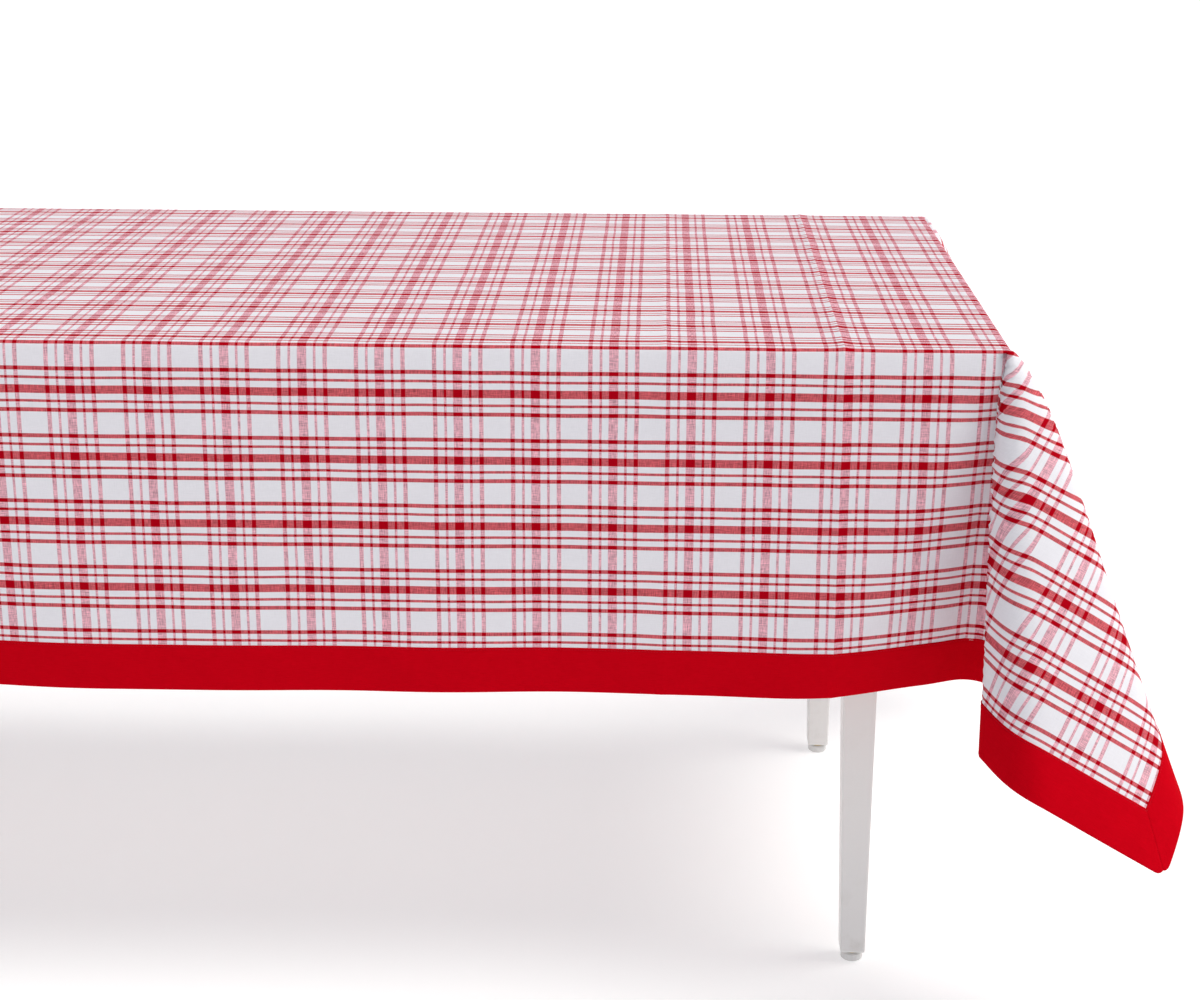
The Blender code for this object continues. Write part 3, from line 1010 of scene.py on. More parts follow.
@dataclass
class EdgeRoll:
    """How the cloth rolls over a straight edge of the table, as far as it turns and settles.

    Attributes:
        radius: of the tight part of the roll.
        slack: the share of the turn that the cloth makes slowly, below the edge.
        settle: the length in which that part dies away.
        reach: the length of cloth that is worked out.
        steps: points worked out in it.
        lengths: the length of cloth at each point.
        outs: how far out each point is.
        downs: how far down it is.
    """

    radius: float = 0.0060
    slack: float = 0.28
    settle: float = 0.016
    reach: float = 0.12
    steps: int = 2400
    lengths: Array = field(init=False)
    outs: Array = field(init=False)
    downs: Array = field(init=False)

    def __post_init__(self) -> None:
        """Adds up the roll in small steps."""
        self.lengths = np.linspace(0.0, self.reach, self.steps)
        tight = np.minimum(self.lengths / (self.radius * QUARTER_TURN), 1.0)
        slow = 1.0 - np.exp(-self.lengths / self.settle)
        turn = QUARTER_TURN * ((1.0 - self.slack) * tight + self.slack * slow)
        step = self.lengths[1]
        self.outs = np.concatenate(([0.0], np.cumsum(np.cos(turn)[:-1] * step)))
        self.downs = np.concatenate(([0.0], np.cumsum(np.sin(turn)[:-1] * step)))

    def out(self, past: Array) -> Array:
        """How far out from the roll's start the cloth is, for a length of cloth past it."""
        return np.interp(past, self.lengths, self.outs)

    def down(self, past: Array) -> Array:
        """How far down the cloth is, for a length of cloth past the roll's start."""
        beyond = np.maximum(past - self.reach, 0.0)
        return np.interp(past, self.lengths, self.downs) + beyond


def both_ways(along: Array, across: Array) -> tuple[Array, Array]:
    """Both coordinates of points of the flat cloth, at one shape."""
    return np.broadcast_arrays(np.asarray(along, float), np.asarray(across, float))


@dataclass
class Drape:
    """The whole cloth as it lies and hangs on the table.

    Attributes:
        top_low: the table top's lowest corner.
        top_high: its highest corner.
        gap: the cloth's middle above the table top.
        stand_off: how far the drops hang out from the table's edges.
        drop: how far the cloth hangs below the top.
        folds: the fold at each corner.
        sways: the long waves of each drop: length, depth and start of each.
        roll: how it turns over the edges.
        creases: places along the cloth of the folds left by its packing, with their heights.
        crease_width: how wide such a fold is.
        corner_calm: the distance from a corner in which the waves of a drop grow.
        sway_growth: the power of the depth below the edge with which they grow.
        sway_limit: the depth at which they stop growing, in drops.
        half_along: from the middle of the top to where the roll starts, along the table.
        half_across: the same across it.
        level: height of the cloth on the table top.
        flat_along: from the middle of the flat cloth to its hem, along it.
        flat_across: the same across it.
    """

    top_low: Vector
    top_high: Vector
    folds: dict[Corner, CornerFold]
    sways: dict[Side, tuple[tuple[float, float, float], ...]]
    gap: float = 0.0012
    stand_off: float = 0.0052
    drop: float = 0.375
    roll: EdgeRoll = field(default_factory=EdgeRoll)
    creases: tuple[tuple[float, float], ...] = ()
    crease_width: float = 0.007
    corner_calm: float = 0.20
    sway_growth: float = 1.4
    sway_limit: float = 1.2
    half_along: float = field(init=False)
    half_across: float = field(init=False)
    level: float = field(init=False)
    flat_along: float = field(init=False)
    flat_across: float = field(init=False)

    def __post_init__(self) -> None:
        """Works out where the rolls start and where the hem is."""
        size = self.top_high - self.top_low
        out = float(self.roll.outs[-1]) - self.stand_off
        self.half_along = size.x / 2 - out
        self.half_across = size.y / 2 - out
        self.level = self.top_high.z + self.gap
        self.flat_along = size.x / 2 + self.drop
        self.flat_across = size.y / 2 + self.drop

    def _beside(
        self, fold: "CornerFold | CornerFoldView", before: Array, past: Array
    ) -> Array:
        """Places cloth on a drop, from its corner.

        Args:
            fold: the fold at that corner, seen from this drop.
            before: distance along the edge past the corner, under 0 on the drop itself.
            past: length of cloth past the roll's start.

        Returns:
            Points from the corner: past the side's end, out from its face, and up.
        """
        down = self.roll.down(past)
        reach = np.hypot(before, down)
        point = fold.way(np.arctan2(before, down)) * reach[..., None]
        point[..., 1] += self.roll.out(past)
        return point

    def _around(self, fold: CornerFold, past_end: Array, past_side: Array) -> Array:
        """Places cloth that lies past both edges.

        Args:
            fold: the fold at that corner.
            past_end: length of cloth past the start of the end's roll.
            past_side: length of cloth past the start of the side's roll.

        Returns:
            Points from the corner: past the side's end, out from its face, and up.
        """
        angle = np.arctan2(past_end, past_side)
        length = np.hypot(past_end, past_side)
        out = self.roll.out(length)
        point = fold.way(angle) * self.roll.down(length)[..., None]
        point[..., 0] += out * np.sin(angle)
        point[..., 1] += out * np.cos(angle)
        longer = 1.0 + fold.slump * np.sin(2 * angle) ** 2
        return point * longer[..., None] + fold.bulge(angle, length)

    def _quarter(self, fold: CornerFold, past_end: Array, past_side: Array) -> Array:
        """Places the cloth of one quarter of the table.

        Args:
            fold: the fold at its corner.
            past_end: length of cloth past the start of the end's roll, under 0 on the top.
            past_side: length of cloth past the start of the side's roll.

        Returns:
            Points from the start of both rolls: past the side's end, out from its face, and up.
        """
        point = np.stack((past_end, past_side, np.zeros_like(past_end)), -1)
        side = (past_end <= 0) & (past_side > 0)
        end = (past_end > 0) & (past_side <= 0)
        both = (past_end > 0) & (past_side > 0)
        point[side] = self._beside(fold, past_end[side], past_side[side])
        turned = self._beside(CornerFoldView(fold), past_side[end], past_end[end])
        point[end] = turned[:, [1, 0, 2]]
        point[both] = self._around(fold, past_end[both], past_side[both])
        return point

    def _sway(self, side: Side, place: Array, depth: Array) -> Array:
        """How far out the waves of a drop carry the cloth.

        Args:
            side: the drop's side.
            place: distance along its edge.
            depth: length of cloth below the start of the roll.

        Returns:
            The distance out from the drop's face.
        """
        waves = sum(
            height * np.sin(2 * math.pi * place / length + start)
            for length, height, start in self.sways[side]
        )
        return waves * np.clip(depth / self.drop, 0, self.sway_limit) ** self.sway_growth

    def _crease(self, along: Array) -> Array:
        """Works out the packing folds.

        Args:
            along: distance along the cloth.

        Returns:
            How far they lift the cloth.
        """
        rise = np.zeros_like(along)
        for place, height in self.creases:
            rise += height * np.exp(-np.abs(along - place) / self.crease_width)
        return rise

    def place(self, along: Array, across: Array) -> Array:
        """Where points of the flat cloth lie.

        Args:
            along: their distance along the cloth from its middle.
            across: their distance across it.

        Returns:
            Their places, in metres.
        """
        along, across = both_ways(along, across)
        past_end = np.abs(along) - self.half_along
        past_side = np.abs(across) - self.half_across
        point = np.zeros(along.shape + (3,))
        for corner, fold in self.folds.items():
            sign_along, sign_across = corner.value
            mine = ((along < 0) == (sign_along < 0)) & ((across < 0) == (sign_across < 0))
            part = self._quarter(fold, past_end[mine], past_side[mine])
            point[mine, 0] = sign_along * (self.half_along + part[:, 0])
            point[mine, 1] = sign_across * (self.half_across + part[:, 1])
            point[mine, 2] = self.level + part[:, 2]
        calm_end = smooth_step(-past_end / self.corner_calm)
        calm_side = smooth_step(-past_side / self.corner_calm)
        for side in Side:
            if side in (Side.FRONT, Side.BACK):
                hanging = (past_side > 0) & ((across < 0) == (side is Side.FRONT))
                sway = self._sway(side, along, np.maximum(past_side, 0)) * calm_end
                point[..., 1] += np.where(hanging, sway * side.value[1], 0.0)
            else:
                hanging = (past_end > 0) & ((along < 0) == (side is Side.LEFT))
                sway = self._sway(side, across, np.maximum(past_end, 0)) * calm_side
                point[..., 0] += np.where(hanging, sway * side.value[0], 0.0)
        return point

    def surface(self, along: Array, across: Array, off: Array | float = 0.0) -> Array:
        """Places on the cloth, lifted off its middle.

        Args:
            along: distance along the cloth.
            across: distance across it.
            off: how far outwards, on the side that shows, the point lies.

        Returns:
            Their places, in metres.
        """
        along, across = both_ways(along, across)
        lift = off + self._crease(along) * (np.abs(along) < self.flat_along)
        return self.place(along, across) + self.outward(along, across) * lift[..., None]

    def outward(self, along: Array, across: Array, step: float = 0.0015) -> Array:
        """Finds which way the cloth faces.

        Args:
            along: distance along the cloth.
            across: distance across it.
            step: how far to each side the cloth is looked at.

        Returns:
            Unit vectors out of the side that shows.
        """
        run = self.place(along + step, across) - self.place(along - step, across)
        rise = self.place(along, across + step) - self.place(along, across - step)
        return unit(np.cross(run, rise))


@dataclass(frozen=True)
class CornerFoldView:
    """A corner's fold seen from its end instead of its side."""

    fold: CornerFold

    def way(self, angle: Array) -> Array:
        """The direction at an angle from straight down the end's drop."""
        return self.fold.way(QUARTER_TURN - angle)[..., [1, 0, 2]]


# ---------------------------------------------------------------------------------------------
# Meshes
# ---------------------------------------------------------------------------------------------


def mesh_object(
    name: str, points: Array, faces: Array, flat: Array | None, material: bpy.types.Material
) -> bpy.types.Object:
    """Makes a smooth-shaded object.

    Args:
        name: the piece's name.
        points: vertices, one row each.
        faces: four vertex numbers a row.
        flat: each vertex's place on the flat cloth, or None.
        material: its finish.

    Returns:
        The object, in the scene.
    """
    mesh = bpy.data.meshes.new(name)
    mesh.from_pydata(points.tolist(), [], faces.tolist())
    mesh.polygons.foreach_set("use_smooth", np.ones(len(mesh.polygons), bool))
    if flat is not None:
        corners = np.empty(len(mesh.loops), np.int32)
        mesh.loops.foreach_get("vertex_index", corners)
        layer = mesh.uv_layers.new(name=FLAT_MAP)
        layer.data.foreach_set("uv", flat[corners].astype(np.float32).ravel())
    mesh.materials.append(material)
    mesh.update()
    made = bpy.data.objects.new(name, mesh)
    bpy.context.scene.collection.objects.link(made)
    return made


def grid_faces(rows: int, columns: int, round_rows: bool = False) -> Array:
    """Faces of a grid of vertices, numbered row by row.

    Args:
        rows: how many rows.
        columns: vertices in a row.
        round_rows: whether the last row joins the first.

    Returns:
        Four vertex numbers a face, turning left as seen from outside when the rows run to the
        left of the columns.
    """
    number = np.arange(rows * columns).reshape(rows, columns)
    if round_rows:
        number = np.vstack((number, number[:1]))
    first, second = number[:-1], number[1:]
    return np.stack((first[:, :-1], first[:, 1:], second[:, 1:], second[:, :-1]), -1).reshape(-1, 4)


def spaced(start: float, stop: float, step: float) -> Array:
    """Even numbers from start to stop, about a step apart."""
    return np.linspace(start, stop, max(2, int(math.ceil(abs(stop - start) / step)) + 1))


def piece_done(piece: bpy.types.Object, slot: str, *nodes: str) -> bpy.types.Object:
    """Lets a finished piece of the cloth ride on it and stand for its nodes.

    Args:
        piece: the piece.
        slot: its material slot; not used.
        nodes: the nodes that it stands for.

    Returns:
        The piece.
    """
    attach(piece, CLOTH_BODY)
    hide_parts(*nodes)
    log.info("%s: %d faces", piece.name, len(piece.data.polygons))
    return piece


@dataclass
class PlaidPanel:
    """The plaid middle of the cloth, whose raw edges lie between the layers of the border.

    Attributes:
        drape: where the cloth lies.
        border: the border's width.
        tuck: how far the panel reaches into the border.
        top_step: spacing of the mesh on the table top.
        drop_step: spacing on the drops.
        roll_step: spacing over the table's edges.
        roll_length: the length of cloth that gets that spacing.
        crease_lines: extra lines beside each packing fold, in widths of it.
    """

    drape: Drape
    border: float
    tuck: float = 0.008
    top_step: float = 0.0140
    drop_step: float = 0.0044
    roll_step: float = 0.0013
    roll_length: float = 0.016
    crease_lines: tuple[float, ...] = (-2.0, -1.2, -0.6, -0.25, 0.0, 0.25, 0.6, 1.2, 2.0)

    def _lines(self, half_top: float, half_flat: float) -> Array:
        """Spaces the mesh's lines one way.

        Args:
            half_top: from the middle to the start of the roll.
            half_flat: from the middle to the hem.

        Returns:
            Their places on the flat cloth.
        """
        hem = half_flat - self.border + self.tuck
        top = spaced(-half_top, half_top, self.top_step)
        roll = spaced(half_top, half_top + self.roll_length, self.roll_step)[1:]
        drop = spaced(half_top + self.roll_length, hem, self.drop_step)[1:]
        out = np.concatenate((roll, drop))
        return np.concatenate((-out[::-1], top, out))

    def build(self, material: bpy.types.Material) -> bpy.types.Object:
        """Makes the panel.

        Args:
            material: its finish.

        Returns:
            The panel.
        """
        drape = self.drape
        near = drape.crease_width * np.array(self.crease_lines)
        creases = np.concatenate([place + near for place, _ in drape.creases])
        along = np.union1d(self._lines(drape.half_along, drape.flat_along), creases)
        across = self._lines(drape.half_across, drape.flat_across)
        grid_along, grid_across = np.meshgrid(along, across)
        points = drape.surface(grid_along, grid_across)
        flat = np.stack((grid_along, grid_across), -1).reshape(-1, 2)
        faces = grid_faces(len(across), len(along))
        panel = mesh_object("plaid_panel_cloth", points.reshape(-1, 3), faces, flat, material)
        return piece_done(panel, "plaid_cotton", "plaid_panel")


@dataclass
class BorderBand:
    """One red band, folded double round the panel's edge, with its ends cut to the mitre.

    Attributes:
        drape: where the cloth lies.
        side: the side of the cloth it borders.
        width: from the hem to its inner edge.
        layer: from the cloth's middle to a face of the band.
        step: spacing of the mesh along the hem.
        corner_radius: how round the cloth's corner is.
        corner_share: how much of that radius the hem draws in at the corner.
        seam: places near each mitre where the mesh has a line.
        seam_sink: how thick the band is at each of the first places, as a share.
    """

    drape: Drape
    side: Side
    width: float
    layer: float = 0.0009
    step: float = 0.0046
    corner_radius: float = 0.014
    corner_share: float = 0.4
    seam: tuple[float, ...] = (0.0, 0.0004, 0.0012, 0.0030)
    seam_sink: tuple[float, float] = (0.35, 0.75)

    def _section(self) -> list[tuple[float, float]]:
        """Draws one face's section, turned over at the hem and stitched near its inner edge.

        Returns:
            Distances from the hem and heights off the cloth's middle, hem first.
        """
        wide, layer = self.width, self.layer
        return [
            (0.0, 0.0), (0.00012, 0.45 * layer), (0.0005, 0.80 * layer), (0.0014, 0.98 * layer),
            (0.0035, 1.00 * layer), (0.0120, 0.92 * layer), (0.0220, 0.90 * layer),
            (0.0320, 0.90 * layer), (wide - 0.0085, 0.95 * layer), (wide - 0.0048, 1.05 * layer),
            (wide - 0.0034, 1.00 * layer), (wide - 0.0026, 0.74 * layer),
            (wide - 0.0018, 0.72 * layer), (wide - 0.0011, 1.05 * layer),
            (wide - 0.0005, 1.05 * layer), (wide - 0.0001, 0.70 * layer), (wide, 0.18 * layer),
        ]

    def _ring(self) -> Array:
        """Joins both faces' sections.

        Returns:
            The section from the inner edge down the outside and up the inside.
        """
        face = self._section()
        outside = face[::-1]
        inside = [(inset, -off) for inset, off in face[1:]]
        return np.array(outside + inside)

    def _flat(self, run: Array, inset: Array) -> tuple[Array, Array]:
        """Places on the flat cloth.

        Args:
            run: from -1 at one mitre to 1 at the other.
            inset: distance from the hem.

        Returns:
            Distances along and across the cloth.
        """
        drape = self.drape
        near = np.clip(1 - (1 - np.abs(run)) * self._half_length() / self.corner_radius, 0, 1)
        edge = np.clip(1 - inset / self.corner_radius, 0, 1)
        inset = inset + self.corner_share * self.corner_radius * near**2 * edge
        if self.side in (Side.FRONT, Side.BACK):
            along = run * (drape.flat_along - inset)
            across = self.side.value[1] * (drape.flat_across - inset)
        else:
            along = self.side.value[0] * (drape.flat_along - inset)
            across = run * (drape.flat_across - inset)
        return np.broadcast_arrays(along, across)

    def _half_length(self) -> float:
        """Half of the hem's length."""
        long_side = self.side in (Side.FRONT, Side.BACK)
        return self.drape.flat_along if long_side else self.drape.flat_across

    def build(self, material: bpy.types.Material) -> bpy.types.Object:
        """Makes the band.

        Args:
            material: its finish.

        Returns:
            The band.
        """
        half = self._half_length()
        run = spaced(-1.0, 1.0, self.step / half)
        seam = np.array(self.seam) / half
        run = np.concatenate((seam - 1.0, run[1:-1], 1.0 - seam[::-1]))
        sunk = np.ones_like(run)
        sunk[:2], sunk[-2:] = self.seam_sink, self.seam_sink[::-1]
        ring = self._ring()
        inset, off = ring[:, 0][:, None], ring[:, 1][:, None] * sunk[None, :]
        along, across = self._flat(run[None, :], inset)
        points = self.drape.surface(along, across, off)
        flat = np.stack((along, across), -1).reshape(-1, 2)
        faces = grid_faces(len(ring), len(run), round_rows=True)
        if self.side in (Side.FRONT, Side.RIGHT):
            faces = faces[:, ::-1]
        faces = np.vstack((faces, self._caps(len(ring), len(run))))
        name = f"border_band_{self.side.label}"
        band = mesh_object(f"{name}_cloth", points.reshape(-1, 3), faces, flat, material)
        return piece_done(band, "red_cotton", name)

    def _caps(self, rows: int, columns: int) -> Array:
        """Closes both mitred ends with strips across the section.

        Args:
            rows: vertices round the section.
            columns: vertices along the band.

        Returns:
            Four vertex numbers a face.
        """
        ends = []
        for column in (0, columns - 1):
            for row in range(rows // 2):
                pair = (row, row + 1, rows - 2 - row, rows - 1 - row)
                if pair[1] >= pair[2]:
                    break
                ends.append([number * columns + column for number in pair])
        return np.array(ends)

    def stitch_line(self, inset: float, outside: bool, step: float = 0.004) -> tuple[Array, Array]:
        """A line on a face of the band.

        Args:
            inset: its distance from the hem.
            outside: whether it runs on the face that shows.
            step: spacing of its points.

        Returns:
            Its points, and the direction off the cloth at each.
        """
        half = self._half_length() - inset
        run = spaced(-1.0, 1.0, step / half) * (1.0 - 0.0016 / half)
        along, across = self._flat(run, np.full_like(run, inset))
        heights = np.array(self._section())
        off = float(np.interp(inset, heights[:, 0], heights[:, 1]))
        facing = 1.0 if outside else -1.0
        points = self.drape.surface(along, across, off * facing)
        return points, self.drape.outward(along, across) * facing


# ---------------------------------------------------------------------------------------------
# Stitches
# ---------------------------------------------------------------------------------------------


class StitchTree:
    """A Geometry Nodes tree that sews a row of thread stitches along lines."""

    ARCH_STEPS = 4
    THREAD_SIDES = 5
    WANDER = 0.05
    DIP = -1.2

    def __init__(self) -> None:
        """Builds the tree, with its sizes as named inputs."""
        self.tree = bpy.data.node_groups.new("row_of_stitches", "GeometryNodeTree")
        face = self.tree.interface
        face.new_socket("Lines", in_out="INPUT", socket_type="NodeSocketGeometry")
        self.inputs: dict[str, str] = {}
        for name, kind in (
            ("Pitch", "NodeSocketFloat"), ("Stitch Length", "NodeSocketFloat"),
            ("Thread Radius", "NodeSocketFloat"), ("Arch", "NodeSocketFloat"),
            ("Slant", "NodeSocketFloat"), ("Seed", "NodeSocketInt"),
            ("Thread", "NodeSocketMaterial"),
        ):
            socket = face.new_socket(name, in_out="INPUT", socket_type=kind)
            self.inputs[name] = socket.identifier
        face.new_socket("Stitches", in_out="OUTPUT", socket_type="NodeSocketGeometry")
        self.source = self.tree.nodes.new("NodeGroupInput")
        self._wire()

    def _add(self, kind: str, sockets: dict[str, Any], **settings: Any) -> bpy.types.Node:
        """Adds a node.

        Args:
            kind: the node's type.
            sockets: values or links for its inputs, by identifier.
            settings: its properties, which are set first.

        Returns:
            The node.
        """
        made = self.tree.nodes.new(kind)
        for key, value in settings.items():
            setattr(made, key, value)
        inputs = {socket.identifier: socket for socket in made.inputs}
        for key, value in sockets.items():
            if isinstance(value, bpy.types.NodeSocket):
                self.tree.links.new(value, inputs[key])
            else:
                inputs[key].default_value = value
        return made

    def _scaled(self, value: bpy.types.NodeSocket, factor: float) -> bpy.types.NodeSocket:
        """A value times a number."""
        sockets = {"Value": value, "Value_001": factor}
        return self._add("ShaderNodeMath", sockets, operation="MULTIPLY").outputs[0]

    def _wire(self) -> None:
        """Lays out the nodes from the lines to the dressed stitches."""
        given = self.source.outputs
        line = self._add("GeometryNodeMeshToCurve", {"Mesh": given["Lines"]})
        points = self._add(
            "GeometryNodeCurveToPoints", {"Curve": line.outputs[0], "Length": given["Pitch"]},
            mode="LENGTH",
        )
        off = self._add(
            "GeometryNodeInputNamedAttribute", {"Name": "off"}, data_type="FLOAT_VECTOR"
        )
        facing = self._add(
            "FunctionNodeAxesToRotation",
            {"Primary Axis": off.outputs[0], "Secondary Axis": points.outputs["Tangent"]},
            primary_axis="Z", secondary_axis="X",
        )
        wander = self._add(
            "FunctionNodeRandomValue",
            {"Min_001": -self.WANDER, "Max_001": self.WANDER, "Seed": given["Seed"]},
            data_type="FLOAT",
        )
        lean = self._add(
            "ShaderNodeMath", {"Value": wander.outputs[1], "Value_001": given["Slant"]},
            operation="ADD",
        )
        turn = self._add("ShaderNodeCombineXYZ", {"Z": lean.outputs[0]})
        euler = self._add("FunctionNodeEulerToRotation", {"Euler": turn.outputs[0]})
        turned = self._add(
            "FunctionNodeRotateRotation",
            {"Rotation": facing.outputs[0], "Rotate By": euler.outputs[0]}, rotation_space="LOCAL",
        )
        placed = self._add(
            "GeometryNodeInstanceOnPoints",
            {"Points": points.outputs["Points"], "Instance": self._stitch(),
             "Rotation": turned.outputs[0]},
        )
        real = self._add("GeometryNodeRealizeInstances", {"Geometry": placed.outputs[0]})
        smooth = self._add("GeometryNodeSetShadeSmooth", {"Geometry": real.outputs[0]})
        dressed = self._add(
            "GeometryNodeSetMaterial", {"Geometry": smooth.outputs[0], "Material": given["Thread"]}
        )
        sink = self.tree.nodes.new("NodeGroupOutput")
        self.tree.links.new(dressed.outputs[0], sink.inputs[0])

    def _stitch(self) -> bpy.types.NodeSocket:
        """Makes one stitch, a short arch of thread whose ends dip into the cloth.

        Returns:
            The output that carries it.
        """
        given = self.source.outputs
        half = self._scaled(given["Stitch Length"], 0.5)
        dip = self._scaled(given["Thread Radius"], self.DIP)
        start = self._add("ShaderNodeCombineXYZ", {"X": self._scaled(half, -1.0), "Z": dip})
        middle = self._add("ShaderNodeCombineXYZ", {"Z": given["Arch"]})
        end = self._add("ShaderNodeCombineXYZ", {"X": half, "Z": dip})
        arch = self._add(
            "GeometryNodeCurveQuadraticBezier",
            {"Resolution": self.ARCH_STEPS, "Start": start.outputs[0],
             "Middle": middle.outputs[0], "End": end.outputs[0]},
        )
        profile = self._add(
            "GeometryNodeCurvePrimitiveCircle",
            {"Resolution": self.THREAD_SIDES, "Radius": given["Thread Radius"]}, mode="RADIUS",
        )
        thread = self._add(
            "GeometryNodeCurveToMesh",
            {"Curve": arch.outputs[0], "Profile Curve": profile.outputs[0], "Fill Caps": True},
        )
        return thread.outputs[0]

    def sew(
        self, name: str, lines: list[tuple[Array, Array]], sizes: dict[str, Any]
    ) -> bpy.types.Object:
        """Sews stitches along lines.

        Args:
            name: the piece's name.
            lines: for each line, its points and the direction off the cloth at each.
            sizes: the tree's inputs, by name.

        Returns:
            The stitches as one plain mesh.
        """
        mesh = bpy.data.meshes.new(name)
        edges, first = [], 0
        for points, _ in lines:
            edges += [(first + k, first + k + 1) for k in range(len(points) - 1)]
            first += len(points)
        mesh.from_pydata(np.vstack([points for points, _ in lines]).tolist(), edges, [])
        ways = np.vstack([way for _, way in lines]).astype(np.float32)
        off = mesh.attributes.new("off", "FLOAT_VECTOR", "POINT")
        off.data.foreach_set("vector", ways.ravel())
        piece = bpy.data.objects.new(name, mesh)
        bpy.context.scene.collection.objects.link(piece)
        modifier = piece.modifiers.new("stitches", "NODES")
        modifier.node_group = self.tree
        for key, value in sizes.items():
            modifier[self.inputs[key]] = value
        graph = bpy.context.evaluated_depsgraph_get()
        sewn = bpy.data.meshes.new_from_object(piece.evaluated_get(graph))
        piece.modifiers.remove(modifier)
        piece.data = sewn
        bpy.data.meshes.remove(mesh)
        sewn.name = name
        return piece


@dataclass
class Sewing:
    """The topstitch along each band and the slip stitches of the mitres.

    Attributes:
        drape: where the cloth lies.
        bands: the four bands.
        border: their width.
        inset: the topstitch's distance from the band's inner edge.
        seam_start: where the mitre's stitches start, from the hem.
        seam_step: spacing of the points of their line.
        seam_off: how far their line lies off the cloth's middle.
        tree: what sews them.
    """

    drape: Drape
    bands: list[BorderBand]
    border: float
    inset: float = 0.0022
    seam_start: float = 0.0066
    seam_step: float = 0.003
    seam_off: float = 0.0004
    tree: StitchTree = field(default_factory=StitchTree)

    def topstitches(self, thread: bpy.types.Material) -> list[bpy.types.Object]:
        """Sews a row on both faces of each band.

        Args:
            thread: the thread's finish.

        Returns:
            The rows, one piece for each band.
        """
        sizes = {
            "Pitch": 0.0032, "Stitch Length": 0.0027, "Thread Radius": 0.00020,
            "Arch": 0.00050, "Slant": 0.0, "Seed": 5, "Thread": thread,
        }
        pieces = []
        for band in self.bands:
            at = self.border - self.inset
            lines = [band.stitch_line(at, outside) for outside in (True, False)]
            name = f"topstitch_{band.side.label}"
            piece = self.tree.sew(f"{name}_thread", lines, sizes)
            pieces.append(piece_done(piece, "red_thread", name))
        return pieces

    def mitre_seams(self, thread: bpy.types.Material) -> list[bpy.types.Object]:
        """Sews small slip stitches over each mitre, on both faces.

        Args:
            thread: the thread's finish.

        Returns:
            The seams, one piece for each corner.
        """
        sizes = {
            "Pitch": 0.0030, "Stitch Length": 0.0016, "Thread Radius": 0.00014,
            "Arch": 0.00040, "Slant": 1.05, "Seed": 11, "Thread": thread,
        }
        pieces = []
        for corner in Corner:
            inset = spaced(self.seam_start, self.border - 0.001, self.seam_step)
            sign_along, sign_across = corner.value
            along = sign_along * (self.drape.flat_along - inset)
            across = sign_across * (self.drape.flat_across - inset)
            lines = []
            for facing in (1.0, -1.0):
                points = self.drape.surface(along, across, self.seam_off * facing)
                lines.append((points, self.drape.outward(along, across) * facing))
            name = f"mitre_seam_{corner.label}"
            piece = self.tree.sew(f"{name}_thread", lines, sizes)
            pieces.append(piece_done(piece, "red_thread", name))
        return pieces


